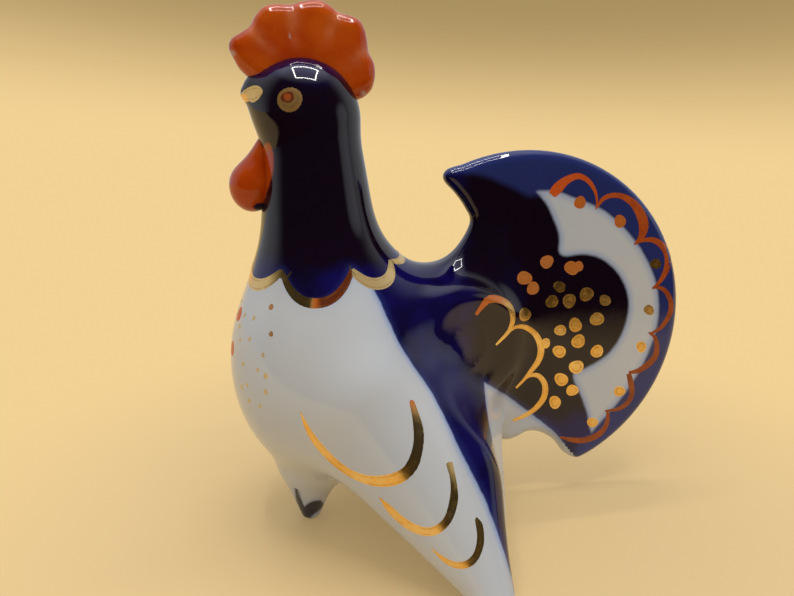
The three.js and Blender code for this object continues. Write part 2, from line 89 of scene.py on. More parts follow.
def soft_min(a, b, blend):
    h = np.maximum(blend - np.abs(a - b), 0) / blend
    return np.minimum(a, b) - h**3 * blend / 6


def soft_max(a, b, blend):
    return -soft_min(-a, -b, blend)


def ellipsoid(p, centre, radii):
    q = p - np.array(centre)
    r = np.array(radii, float)
    near = np.linalg.norm(q / r, axis=-1)
    slope = np.linalg.norm(q / (r * r), axis=-1)
    return near * (near - 1) / np.maximum(slope, 1e-9)


def round_cone(p, a, b, ra, rb):
    """Solid swept by a ball that changes from radius ra at a to radius rb at b."""
    a, b = np.array(a, float), np.array(b, float)
    axis = b - a
    l2 = axis @ axis
    rr = ra - rb
    a2 = l2 - rr * rr
    q = p - a
    y = q @ axis
    z = y - l2
    v = q * l2 - y[..., None] * axis
    x2 = (v * v).sum(-1)
    y2, z2 = y * y * l2, z * z * l2
    k = np.sign(rr) * rr * rr * x2
    d = (np.sqrt(np.maximum(x2 * a2 / l2, 0)) + y * rr) / l2 - ra
    d = np.where(np.sign(y) * a2 * y2 < k, np.sqrt(x2 + y2) / l2 - ra, d)
    return np.where(np.sign(z) * a2 * z2 > k, np.sqrt(x2 + z2) / l2 - rb, d)


def triangle_distance(p, a, b, c):
    ba, cb, ac = b - a, c - b, a - c
    pa, pb, pc = p - a, p - b, p - c
    normal = np.cross(ba, ac)

    def to_edge(e, q):
        t = np.clip((q @ e) / (e @ e), 0, 1)
        w = q - e * t[..., None]
        return (w * w).sum(-1)

    sides = [np.sign(q @ np.cross(e, normal)) for e, q in ((ba, pa), (cb, pb), (ac, pc))]
    edge = np.minimum(np.minimum(to_edge(ba, pa), to_edge(cb, pb)), to_edge(ac, pc))
    flat = (pa @ normal) ** 2 / (normal @ normal)
    return np.sqrt(np.where(sum(sides) < 2, edge, flat))


def outline_distance(x, z, outline):
    """Signed distance to a closed outline, negative inside."""
    nearest = np.full(np.shape(x), 1e18)
    inside = np.zeros(np.shape(x), bool)
    for (ax, az), (bx, bz) in zip(outline, np.roll(outline, 1, axis=0)):
        ex, ez = bx - ax, bz - az
        wx, wz = x - ax, z - az
        t = np.clip((wx * ex + wz * ez) / (ex * ex + ez * ez), 0, 1)
        nearest = np.minimum(nearest, (wx - ex * t) ** 2 + (wz - ez * t) ** 2)
        if ez != 0:
            inside ^= ((az > z) != (bz > z)) & (wx < ex * wz / ez)
    return np.where(inside, -1, 1) * np.sqrt(nearest)


def smooth_line(points, steps=6, closed=False):
    """A smooth curve through the points, as an array with the given steps between them."""
    p = np.array(points, float)
    if closed:
        p = np.vstack([p[-1], p, p[0], p[1]])
    else:
        p = np.vstack([2 * p[0] - p[1], p, 2 * p[-1] - p[-2]])
    out = []
    for i in range(1, len(p) - 2):
        p0, p1, p2, p3 = p[i - 1 : i + 3]
        square = 2 * p0 - 5 * p1 + 4 * p2 - p3
        cube = 3 * p1 - p0 - 3 * p2 + p3
        for t in np.arange(steps) / steps:
            out.append((2 * p1 + (p2 - p0) * t + square * t**2 + cube * t**3) / 2)
    if not closed:
        out.append(p[-2])
    return np.array(out)


def tail_outline():
    """The round edge from the horn down to the lower tip, the notch and the saddle's edge."""
    angles = np.radians(np.linspace(113, -62, 48))
    rim = TAIL_CENTRE + TAIL_RADIUS * np.stack([np.cos(angles), np.sin(angles)], 1)
    notch = smooth_line(
        [rim[-1], (37.6, 11.6), (33.5, 13.8), (29.6, 18.6), (24.5, 21.8), (20.1, 22.4),
         (16.5, 20.8), (12, 20.5), (4, 26), (-7, 36)]
    )
    saddle = smooth_line(
        [(-30, 60), (-30, 70), (-22, 72), (-14.9, 72.8), (-9, 75.4), (-4.6, 80.2),
         (-0.2, 88.6), (-1.9, 93.3), (-5.0, 97.4), (-7.7, 100.1), (-8.5, 102), (-7.6, 103.7),
         (-5.6, 104.6), rim[0]]
    )
    return np.vstack([rim, notch[1:], saddle[:-1]])


TAIL_OUTLINE = tail_outline()


def fade(value, low, high):
    """0 up to low, 1 from high on, and straight in between. High may also be the lower one."""
    return np.clip((value - low) / (high - low), 0, 1)


def tail_field(p, reach=24, front=-45, far=30.0):
    """The flat tail. Points too far away to feel it get a plain large distance."""
    close = (np.abs(p[..., 1]) < reach) & (p[..., 0] > front)
    x, y, z = p[close].T
    from_root = np.hypot(x - TAIL_ROOT[0], z - TAIL_ROOT[1])
    half = TAIL_HALF + TAIL_ROOT_SWELL * (1 - fade(from_root, *ROOT_REACH)) ** 2
    d = np.full(p.shape[:-1], far)
    d[close] = rounded_plate(outline_distance(x, z, TAIL_OUTLINE), y, half, TAIL_RIM)
    return d


def rounded_plate(flat, y, half, rim):
    """A plate with a rounded rim, from the flat distance to its outline."""
    u = flat + rim
    v = np.abs(y) - half + rim
    inside = np.minimum(np.maximum(u, v), 0)
    return inside + np.hypot(np.maximum(u, 0), np.maximum(v, 0)) - rim


def skin_field(p):
    """All of the figurine but comb and wattle. The last number of each soft_min and soft_max
    is the width of that blend in millimetres."""
    ay = np.abs(p[..., 1])
    side = p.copy()
    side[..., 1] = -np.where(ay < 8, ay * ay / 16 + 4, ay)      # both wings meet smoothly
    half = WING_TIP_HALF + WING_SPREAD * np.linalg.norm(side - WING_TIP, axis=-1)
    wing = triangle_distance(side, *WING) - half
    wing = soft_min(wing, round_cone(side, *WING_HEART), 8)
    wing = soft_min(wing, round_cone(p, *SADDLE), 10)
    wing = soft_min(wing, triangle_distance(side, *WEB) - WEB_HALF, 5)
    d = soft_min(ellipsoid(p, *BREAST), wing, 14)
    side[..., 1] = -ay
    d = soft_max(d, -soft_min(*[round_cone(side, *hollow) for hollow in HOLLOWS], 4), 5)
    d = soft_min(d, round_cone(p, *NECK), 13)
    head = soft_min(ellipsoid(p, *HEAD), round_cone(p, *SNOUT), 8)
    head = soft_min(head, round_cone(p, *BEAK), 2.5)
    d = soft_min(d, head, 6)
    d = soft_min(d, tail_field(p), 12)
    d = soft_min(d, round_cone(p, *FOOT), 12)
    d = soft_max(d, -round_cone(p, *VENT), 0.8)
    return soft_max(d, -p[..., 2], 0.6)


COMB_OUTLINE = smooth_line(
    [(-45.8, 122), (-56, 124), (-61.4, 127.8), (-63.2, 130.5), (-64.4, 133.5), (-63.5, 135.6),
     (-61.3, 137), (-59, 138.7), (-57.5, 141.1), (-55.3, 143.2), (-52.4, 143.9), (-49.3, 144),
     (-47.1, 144.5), (-44, 145.2), (-41.2, 145.2), (-38.9, 144.1), (-36.8, 142.8),
     (-34.3, 142.1), (-31.6, 141.1), (-30.2, 139), (-29.6, 136.3), (-29.2, 133.6),
     (-27.9, 130.9), (-27.6, 127.8), (-28.5, 124.5), (-30.4, 122.6), (-32.2, 121.8),
     (-36, 120.5)], 4, closed=True)
COMB_GROOVES = [((-58.6, 138.0), (-53.5, 132)), ((-48.6, 143.6), (-48, 134.5)),
                ((-36.6, 142.6), (-40.5, 135)), ((-29.4, 133.4), (-35.5, 129.5))]


def comb_groove(p):
    """How deep a point lies in one of the shallow grooves between the comb's lobes, 0 to 1."""
    depth = np.zeros(p.shape[:-1])
    for (ax, az), (bx, bz) in COMB_GROOVES:
        ex, ez = bx - ax, bz - az
        wx, wz = p[..., 0] - ax, p[..., 2] - az
        t = np.clip((wx * ex + wz * ez) / (ex * ex + ez * ez), 0, 1)
        d = np.hypot(wx - ex * t, wz - ez * t)
        depth = np.maximum(depth, np.exp(-((d / GROOVE_WIDTH) ** 2)) * (1 - 0.75 * t))
    return depth


def comb_field(p):
    flat = outline_distance(p[..., 0], p[..., 2], COMB_OUTLINE)
    half = COMB_HALF - GROOVE_DEPTH * comb_groove(p)
    return rounded_plate(flat, p[..., 1], half, COMB_RIM)


def mirrored(points):
    """The points, those of the far side moved to their mirror image on the near side."""
    side = points.copy()
    side[..., 1] = -np.abs(side[..., 1])
    return side


def wattle_field(p):
    stem = round_cone(p * [1, 0.75, 1], *WATTLE_STEM)           # wider than long
    return soft_min(ellipsoid(p, *WATTLE), stem, 5)


def slope_of(field, p, h=0.04):
    return np.stack([field(p + step) - field(p - step) for step in h * np.eye(3)], -1) / (2 * h)


def normal_of(field, p):
    slope = slope_of(field, p)
    return slope / np.maximum(np.linalg.norm(slope, axis=-1, keepdims=True), 1e-9)


def settle(field, p, limit=0.6, turns=3):
    """Points moved onto the surface along its slope, each by no more than the limit."""
    start = p.copy()
    for _ in range(turns):
        slope = slope_of(field, p)
        p = p - field(p)[:, None] * slope / np.maximum((slope**2).sum(-1), 0.05)[:, None]
    moved = p - start
    length = np.linalg.norm(moved, axis=-1, keepdims=True)
    return start + moved * np.minimum(1, limit / np.maximum(length, 1e-9))


# A closed surface from a field

def field_on_grid(field, low, shape, step):
    """Values on a grid, worked out near the surface only and filled in roughly elsewhere."""
    coarse = 4
    blocks = [int(np.ceil(n / coarse)) for n in shape]
    axes = [low[a] + (np.arange(blocks[a]) * coarse + (coarse - 1) / 2) * step for a in range(3)]
    centres = np.stack(np.meshgrid(*axes, indexing="ij"), -1)
    rough = field(centres.reshape(-1, 3)).reshape(blocks)
    value = np.kron(rough, np.ones((coarse,) * 3))
    near = np.abs(rough) < coarse * step * 1.15
    fine = np.kron(near, np.ones((coarse,) * 3)) > 0
    index = np.argwhere(fine)
    points = np.array(low) + index * step
    value[fine] = np.concatenate([field(part) for part in np.array_split(points, 12)])
    return value


def plain_squares(value, step):
    """Counts outer corners as inside until no grid square has its corners in and out by turns."""
    for _ in range(20):
        changed = 0
        for axis in range(3):
            v = np.moveaxis(value, axis, 0)
            a, b, c, d = v[:, :-1, :-1], v[:, 1:, :-1], v[:, 1:, 1:], v[:, :-1, 1:]
            ia, ib, ic, id_ = a < 0, b < 0, c < 0, d < 0
            mixed = (ia == ic) & (ib == id_) & (ia != ib)
            for i, j, k in np.argwhere(mixed):
                spots = [(i, j, k), (i, j + 1, k), (i, j + 1, k + 1), (i, j, k + 1)]
                outer = [s for s in spots if v[s] >= 0]
                if outer:
                    v[min(outer, key=lambda s: v[s])] = -0.01 * step
                    changed += 1
        if not changed:
            return


def surface_of(field, low, high, step):
    """Vertices and four-sided faces of the field's surface, evenly spread and on it."""
    shape = [int(np.ceil((high[a] - low[a]) / step)) + 2 for a in range(3)]
    shape = [n + (-n) % 4 for n in shape]
    value = field_on_grid(field, low, shape, step)
    plain_squares(value, step)
    inside = value < 0
    cells = [n - 1 for n in value.shape]
    total, count = np.zeros(cells + [3]), np.zeros(cells)
    for axis in range(3):
        for o in np.ndindex(2, 2, 2):
            if o[axis]:
                continue
            ends = o, o[:axis] + (1,) + o[axis + 1:]
            va, vb = (value[tuple(slice(a, a + n) for a, n in zip(end, cells))] for end in ends)
            crossing = (va < 0) != (vb < 0)
            spot = np.zeros(cells + [3]) + o
            spot[..., axis] += np.where(crossing, va / np.where(crossing, va - vb, 1), 0)
            total += np.where(crossing[..., None], spot, 0)
            count += crossing
    used = count > 0
    index = np.full(cells, -1)
    index[used] = np.arange(used.sum())
    cell = np.argwhere(used)
    points = np.array(low) + (cell + total[used] / count[used][:, None]) * step
    quads = []
    for axis in range(3):
        b, c = (axis + 1) % 3, (axis + 2) % 3
        part = [slice(1, n - 1) for n in value.shape]
        part[axis] = slice(None)
        spots = np.argwhere(np.diff(inside[tuple(part)], axis=axis))
        spots[:, [b, c]] += 1
        outward = inside[tuple(spots.T)]
        corner = []
        for db, dc in ((1, 1), (0, 1), (0, 0), (1, 0)):
            at = spots.copy()
            at[:, b] -= db
            at[:, c] -= dc
            corner.append(index[tuple(at.T)])
        quad = np.stack(corner, 1)
        quad[~outward] = quad[~outward][:, ::-1]
        quads.append(quad)
    quads = np.vstack(quads)
    points = settle(field, points, step, 2)
    for turns in (1, 1, 2):
        points = settle(field, even_out(points, quads), step, turns)
    return points, quads


def even_out(points, quads, share=0.5):
    """Each point moved part of the way to the middle of its neighbours."""
    total = np.zeros_like(points)
    count = np.zeros(len(points))
    for a, b in ((0, 1), (1, 2), (2, 3), (3, 0)):
        for s, e in ((a, b), (b, a)):
            np.add.at(total, quads[:, s], points[quads[:, e]])
            np.add.at(count, quads[:, s], 1)
    return points + share * (total / count[:, None] - points)


# From the photograph's frame to the figurine

def camera_axes():
    a, p = np.radians([CAMERA_AZIMUTH, CAMERA_PITCH])
    ahead = np.array([np.sin(a) * np.cos(p), np.cos(a) * np.cos(p), -np.sin(p)])
    right = np.array([np.cos(a), -np.sin(a), 0.0])
    return ahead, right, np.cross(right, ahead)


AHEAD, RIGHT, ABOVE = camera_axes()


def seen_at(points):
    """Where points of the near side lie in the photograph's frame."""
    d = points - CAMERA_PLACE
    depth = d @ AHEAD
    across = PHOTO_WIDTH / 2 + FOCAL_PX * (d @ RIGHT) / depth
    down = PHOTO_HEIGHT / 2 - FOCAL_PX * (d @ ABOVE) / depth
    return np.stack([across, down], -1)


def cast(spots, start=60.0, touch=0.02, pace=0.7, steps=160):
    """Points of the near side's skin that lie at these spots of the photograph's frame. A ray
    that misses the skin gives the point of it that it comes closest to."""
    spots = np.array(spots, float) - [PHOTO_WIDTH / 2, PHOTO_HEIGHT / 2]
    ray = AHEAD + spots[:, :1] / FOCAL_PX * RIGHT - spots[:, 1:] / FOCAL_PX * ABOVE
    ray /= np.linalg.norm(ray, axis=1, keepdims=True)
    reach = np.full(len(spots), start)
    best = reach.copy()
    least = np.full(len(spots), 1e9)
    for _ in range(steps):
        d = skin_field(CAMERA_PLACE + ray * reach[:, None])
        closer = (d < least) & (least > touch)
        best = np.where(closer, reach, best)
        least = np.where(closer, d, least)
        reach = np.where(least > touch, reach + np.maximum(d, 0.05) * pace, reach)
    return settle(skin_field, CAMERA_PLACE + ray * best[:, None], 2.0)


# Painted outlines, in pixels of the photograph's frame

COBALT_FRONT = [  # white breast and wing against the cobalt back, from collar to wing tip
    (371, 284), (380, 302), (390, 324), (400, 345), (414, 367), (430, 390), (443, 414),
    (455, 440), (470, 470), (485, 500), (496, 529), (505, 555), (511, 575), (514, 590),
]
COBALT_REAR = [  # cobalt against white below the tail, from the wing's rear edge on
    (484, 382), (497, 390), (510, 398), (530, 413), (548, 427), (556, 434), (562, 441),
]
COBALT_HEEL = np.array([-1.0, -46.5, 4.5])      # where it ends behind the wing tip, in mm
WING_HOLLOW = (472, 410)        # middle of the duller glaze behind the wing
RIM_BAND = [  # inner edge of the lighter blue band along the tail's edge
    (440, 176), (456, 172), (485, 176), (512, 187), (531, 196), (554, 191), (572, 197),
    (606, 212), (635, 241), (652, 271), (658.5, 299), (656, 329.5), (643, 364),
    (624, 394.5), (604, 418), (591, 433), (578, 446), (570, 470),
]
RIM_OUTSIDE = [(640, 520), (760, 420), (760, 180), (620, 80), (420, 80)]
RESERVE_OUTER = [(536, 191), *RIM_BAND[5:16]]
RESERVE_INNER = [
    (589, 424), (587, 412), (580.5, 394.5), (573, 375), (585, 368.5), (606.5, 355.5),
    (621, 336), (628, 314), (628, 295), (619.5, 275), (604, 260), (585, 254), (561, 255),
    (559, 234), (550, 210), (543, 199),
]

# Painted ornament, in pixels of the photograph's frame. Strokes: x, y, width. Spots: x, y,
# radius. Tints: 0 gold, 1 copper-red, 2 dark red-brown, -1 worn gold.

GARLAND = [
    [(552, 195, 8), (557, 189, 11), (564, 182, 9), (572, 177.5, 7), (580, 176.3, 6),
     (588.8, 181.3, 5), (595, 191, 3.5), (597, 201, 2.2), (596, 209.5, 1.4)],
    [(597, 207.5, 2), (602.5, 199.5, 4), (611, 195.5, 5), (622.5, 196.3, 6), (633.8, 203.8, 8),
     (641, 215, 10), (643.8, 226.3, 10), (641, 237.5, 6), (634.5, 244.5, 2)],
    [(635.5, 243, 2), (645, 240, 4), (655, 240.5, 6), (663.8, 247.5, 7), (668, 257.5, 7),
     (666.3, 270, 6), (660, 281.3, 4), (652.5, 288.8, 1.8)],
    [(652.5, 287.5, 2), (661, 288, 4), (667.5, 293.8, 5), (671, 303.8, 5), (669.5, 315, 5),
     (661, 327.5, 4), (650, 333.8, 1.8)],
    [(648.8, 332.5, 2), (655, 337.5, 4), (657, 347.5, 5), (654.5, 357.5, 6), (646, 366, 6),
     (637.5, 371, 5), (628.8, 372.5, 2.5)],
    [(628.8, 373.8, 5), (631, 383.8, 6), (632, 393.8, 5), (627.5, 402.5, 5), (618.8, 408.8, 4),
     (605, 411, 1.8)],
    [(607, 410.8, 2.5), (608, 417.5, 4), (605, 427.5, 5), (597.5, 435, 6), (585, 440, 6),
     (572.5, 440, 5), (560, 437, 2)],
]
GARLAND_TINTS = [(1, 0.8, 0.5), (0.5, 0.3), (0.3,), (0.15,), (0.1,), (0,), (0.1,)]
ROOT_SCALLOPS = [
    [(476, 315, 3), (482.5, 306, 5), (490, 299, 8), (502, 300.5, 7), (510, 307, 6),
     (513, 318, 5), (509, 331, 4), (496, 345, 2)],
    [(507.5, 332.5, 3), (516, 327, 3.5), (526, 327.5, 5), (536, 335, 6), (541, 347.5, 7),
     (538.8, 360, 6), (531, 371, 4.5), (523.8, 380, 3), (516, 388, 2)],
    [(523.8, 380, 2), (530, 375.5, 3.5), (538.8, 376, 5), (545, 385, 6), (543.8, 397.5, 6),
     (535, 408.8, 5), (523.8, 416, 4), (513, 420.5, 2.5)],
]
ROOT_TINTS = [(1, 1, 0.8, 0, 0, 0), (0.2, 0, 0), (0,)]
RIM_SPOTS = [
    (580, 202.5, 6.3), (620, 221.3, 6.3), (655.5, 263.8, 5.5), (649, 310, 5.3),
    (641.3, 346.8, 5.5), (619.5, 391.3, 5.5), (592.5, 422.3, 5.3),
]
RIM_SPOT_TINTS = [0.9, 0.9, 0, 0.1, 0, 0, 0]
COPPER_SPOT_TINT = 0.75
COPPER_SPOTS = [
    (546.8, 261.8, 6.8), (571.5, 268, 7.2), (578.5, 266.5, 5.2), (524.5, 278, 7.3),
    (533, 288.3, 6.5),
]
GOLD_SPOTS = [
    (559.5, 286.8, 6), (552, 301.5, 6.5), (569.3, 300.8, 7), (586.5, 294.3, 7.2),
    (605, 300.3, 5.8), (525, 314.5, 6.5), (597, 319, 7), (575.3, 325, 7), (560.3, 330.3, 5.8),
    (578.3, 341.3, 7), (545.5, 343.3, 5), (559.3, 351.5, 6.5), (597, 351.3, 6.5),
    (576.3, 367, 7.2), (561.3, 379.5, 6.8), (572.3, 390.3, 6), (555, 402.3, 6.3),
]
CRESCENTS = [  # outer edge and inner edge, both from the tip on
    ([(300, 411), (305, 429.5), (316.5, 448.6), (335.7, 467.8), (354.8, 480), (373.9, 486.5),
      (389, 487), (404.5, 482), (418, 468), (423.7, 445), (423.7, 429.5), (419.8, 416),
      (414.5, 401.5)],
     [(300.3, 411), (311, 429.5), (326, 448.6), (345, 466), (364, 474.5), (383.5, 475),
      (401, 469), (409, 458), (413.5, 441), (412.5, 420), (409.3, 402.5)]),
    ([(378.7, 497), (389, 514), (406.5, 529), (423.7, 536), (439, 534), (452, 521), (458, 502),
      (457.5, 487), (453, 462.5)],
     [(379, 496.8), (391, 506), (406.5, 519), (423.7, 527), (436, 525), (445, 515.6),
      (450, 496.5), (450, 479), (446, 464)]),
    ([(431, 548), (441, 560), (454, 568), (468, 568), (478, 560), (484, 544), (483, 525),
      (477, 517)],
     [(431.3, 547.8), (441, 555), (454, 561.5), (466, 560.5), (474, 552), (477, 537),
      (475, 521)]),
]
CRESCENT_TINTS = [(0, 0, 0, 0, 0, 0, 0, 0, 0.1, 1), (0, 0, 0, 0, 0.1), (0, 0.1)]
BREAST_SPOTS = [
    (271, 307), (244.6, 315), (253.8, 318), (271, 334), (239.6, 326), (240, 340),
    (249.6, 339), (263, 355), (243, 364), (257.6, 370), (265.7, 376), (247, 385),
    (265.7, 392), (260, 406), (241.7, 387), (249, 401), (241.4, 301),
]
BREAST_RADII_RANGE = (0.52, 0.78)               # mm
DARK_BREAST_SPOTS, DARK_TINT, PALE_TINT = [0, 3], 0.45, -0.8
RED_SPOTS = [(-6.2, 314.5), (-6.4, 348.5)]      # mm from the middle plane, row of pixels
RED_SPOT_RADIUS = 2.1                           # mm
EYE, EYE_RING, IRIS = (289.7, 99.7, 12.8), (287.6, 97.4, 6.2), (287.3, 96.9, 3.6)
EYE_TINT, EYE_RING_TINT = 0.32, 1.8
LIFT = np.array([0, -0.07, 0.01])   # from each layer of the eye to the next, in mm
BEAK_GILT = [       # x, y in pixels, width in mm
    (262.8, 92.3, 0.5), (260, 92.3, 2.4), (256.5, 93, 3.7), (252, 94, 4.1), (247.8, 94.6, 3.2),
]
BEAK_TIP_WIDTH, BEAK_TIP_RADIUS, BEAK_TINT = 2.4, 1.8, -0.22

# The collar, in mm and degrees. Angles start at the near side and run towards the front.

COLLAR_MIDDLE, COLLAR_RADIUS = (-43.0, 0.0, 79.7), 20.0
COLLAR_CUSPS = [90, 34.5, -20, -58, -90, -122, -160, -214.5, -270]
COLLAR_DROPS = [4.6, 7.8, 4.8, 1.6, 1.6, 4.8, 7.8, 4.6]
COLLAR_WIDTHS = [1.35, 1.05, 1.35, 0.9, 0.9, 1.35, 1.05, 1.35]
NEAR_SCALLOP, NEAR_RED_REFLECTION = 1, ([0.42, 0.55], [0, 1.8])    # where a painted red reflection runs along its line
PALE_SCALLOP, PALE_SCALLOP_TINT = 2, -0.6

# More painted shapes, in pixels of the photograph's frame

COLLAR_TICKS = [
    [(280, 277, 2.4), (285.5, 277.5, 2.2), (289, 275, 1.8), (291, 271.5, 1.4)],
    [(356, 275, 2.4), (352.5, 272, 2), (350.5, 269, 1.6), (350, 265.5, 1.2)],
]
TOE_BLOT = [
    (313.3, 500.8), (320.8, 500.4), (323.3, 503.3), (325, 505.8), (317.5, 511.7), (311.7, 516),
    (305, 516), (303.3, 508.3), (308.3, 503.3),
]
TOE_STRIP = [
    (294.5, 487.5), (296, 500), (300.5, 511.7), (304, 518), (312, 518), (309, 511), (304, 506),
    (300.8, 498.3), (297.3, 488.3),
]
THROAT_RED = [
    (262, 149), (267, 143), (271, 147), (273.5, 157), (272.5, 173), (267.5, 190), (263.5, 202),
    (256, 204), (256, 170),
]
WATTLE_BARE = [(253, 207), (256, 203.5), (262, 203), (268, 203.5), (267, 212), (258, 212.5)]
COMB_WEAR = [(233, 53, 3.0), (363, 93, 3.2), (290, 36, 2.2), (267, 144, 4.0)]


class PaintedLine:
    """A line on the skin, and which side of it a point lies on."""

    def __init__(self, points, closed=False):
        self.points = points
        ahead = np.roll(points, -1, axis=0) - points
        behind = points - np.roll(points, 1, axis=0)
        if not closed:
            ahead[-1], behind[0] = behind[-1], ahead[0]
        normals = normal_of(skin_field, points)
        right = sum(np.cross(e, normals) / np.linalg.norm(e, axis=1, keepdims=True)
                    for e in (ahead, behind))
        self.right = right / np.linalg.norm(right, axis=1, keepdims=True)
        self.steps = len(points) if closed else len(points) - 1

    def signed(self, points):
        """Distance to the line: positive to the right, seen from outside along the line."""
        best = np.full(len(points), 1e9)
        side = np.zeros(len(points))
        for i in range(self.steps):
            j = (i + 1) % len(self.points)
            a, e = self.points[i], self.points[j] - self.points[i]
            t = np.clip(((points - a) @ e) / (e @ e), 0, 1)[:, None]
            off = points - (a + t * e)
            d = np.linalg.norm(off, axis=1)
            right = self.right[i] * (1 - t) + self.right[j] * t
            closer = d < best
            best = np.where(closer, d, best)
            side = np.where(closer, np.sign((off * right).sum(1)), side)
        return best * side


def sd_pixels(points, outline):
    """Signed distance in mm to a closed outline in the photograph's frame, positive inside."""
    near = mirrored(points)
    spots = seen_at(near)
    depth = (near - CAMERA_PLACE) @ AHEAD
    return -outline_distance(spots[:, 0], spots[:, 1], np.array(outline)) * depth / FOCAL_PX


# The skin, cut into its pieces

def half_space(point, direction):
    """A seam's plane: a point of it and the unit direction that leads into the piece."""
    d = np.array(direction, float)
    return np.array(point, float), d / np.linalg.norm(d)


TAIL_SEAM = half_space((-4.03, 0, 84.57), (0.954, 0, 0.3))
COLLAR_SEAM = half_space((-43.0, 0, 79.0), (-0.1, 0, 1))
LEFT_SEAM, RIGHT_SEAM = [
    half_space((-22.0, side * 23.9, 34.0), (0.15, side * 0.83, -0.54)) for side in (-1, 1)]
FOOT_SEAM = half_space((0, 0, 12.06), (0, 0, -1))
TAIL_FRONT_X, NECK_BACK_X, FOOT_BACK_X = -30.0, -15.0, -34.5
SKIN_PIECES = [     # name, node that it replaces, slot, seam, and the side that it is cut on
    ("painted_body", "body_shell", "white_glaze", None, None),
    ("painted_tail_fan", "tail_fan", "cobalt_glaze", TAIL_SEAM, lambda c: c.x > TAIL_FRONT_X),
    ("painted_neck_and_head", "neck_and_head", "cobalt_glaze", COLLAR_SEAM,
     lambda c: c.x < NECK_BACK_X),
    ("painted_left_wing", "left_wing", "white_glaze", LEFT_SEAM, lambda c: c.y < 0),
    ("painted_right_wing", "right_wing", "white_glaze", RIGHT_SEAM, lambda c: c.y > 0),
    ("painted_front_foot", "front_foot", "white_glaze", FOOT_SEAM, lambda c: c.x < FOOT_BACK_X),
]


def cut_skin(points, quads):
    """Splits the skin along its seams into a closed mesh for each of SKIN_PIECES."""
    bm = mesh_of(points, quads)
    label = bm.faces.layers.int.new("piece")

    def divide(number, place, way, wanted):
        def height(point):
            return (np.array(point) - place) @ way

        near = []
        for f in bm.faces:
            if f[label] == 0 and wanted(f.calc_center_median()):
                heights = [height(v.co) for v in f.verts]
                if min(heights) * max(heights) < 0:
                    near.append(f)
        edges, verts = {e for f in near for e in f.edges}, {v for f in near for v in f.verts}
        bmesh.ops.bisect_plane(
            bm, geom=[*near, *edges, *verts], dist=1e-5, plane_co=place, plane_no=way)
        for f in bm.faces:
            centre = f.calc_center_median()
            if f[label] == 0 and wanted(centre) and height(centre) > 0:
                f[label] = number

    for number, (*_, seam, wanted) in enumerate(SKIN_PIECES):
        if seam:
            divide(number, *seam, wanted)
    pieces = []
    for number in range(len(SKIN_PIECES)):
        part = bm.copy()
        layer = part.faces.layers.int.get("piece")
        others = [f for f in part.faces if f[layer] != number]
        bmesh.ops.delete(part, geom=others, context="FACES")
        open_edges = [e for e in part.edges if e.is_boundary]
        caps = bmesh.ops.holes_fill(part, edges=open_edges, sides=0)["faces"]
        caps = bmesh.ops.triangulate(part, faces=caps)["faces"]
        for f in caps:
            f.smooth = False
        pieces.append(part)
    bm.free()
    return pieces


def make_piece(name, bm, field, material, paint):
    """A finished piece from a mesh in the figurine's frame, with its surface's own normals and
    the values that its material reads."""
    bmesh.ops.recalc_face_normals(bm, faces=bm.faces)
    mesh = bpy.data.meshes.new(name)
    bm.to_mesh(mesh)
    bm.free()
    points = np.zeros(len(mesh.vertices) * 3)
    mesh.vertices.foreach_get("co", points)
    points = points.reshape(-1, 3)
    normals = normal_of(field, points)
    store(mesh, paint(points, normals))
    mesh.vertices.foreach_set("co", ((points + SHIFT) * MM).ravel())
    mesh.update()
    set_normals(mesh, normals, lambda normal, face: face.use_smooth)
    return add_object(name, mesh, material)


def store(mesh, values):
    """Named values at the mesh's vertices, for the material."""
    for key, numbers in values.items():
        layer = mesh.attributes.new(key, "FLOAT", "POINT")
        layer.data.foreach_set("value", numbers.astype(np.float32))


def set_normals(mesh, normals, follows):
    """Each corner gets its vertex's normal where it follows the surface, or else its face's."""
    corners = [None] * len(mesh.loops)
    for face in mesh.polygons:
        for i in face.loop_indices:
            normal = normals[mesh.loops[i].vertex_index]
            corners[i] = tuple(normal if follows(normal, face) else face.normal)
    mesh.normals_split_custom_set(corners)


def placed(name, data):
    """A new object of the scene."""
    thing = bpy.data.objects.new(name, data)
    bpy.context.scene.collection.objects.link(thing)
    return thing


def add_object(name, mesh, material):
    piece = placed(name, mesh)
    mesh.materials.append(material)
    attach(piece, "root")
    return piece


def mesh_of(points, quads):
    bm = bmesh.new()
    verts = [bm.verts.new(p) for p in points]
    for quad in quads:
        bm.faces.new([verts[i] for i in quad])
    for f in bm.faces:
        f.smooth = True
    return bm


# Materials

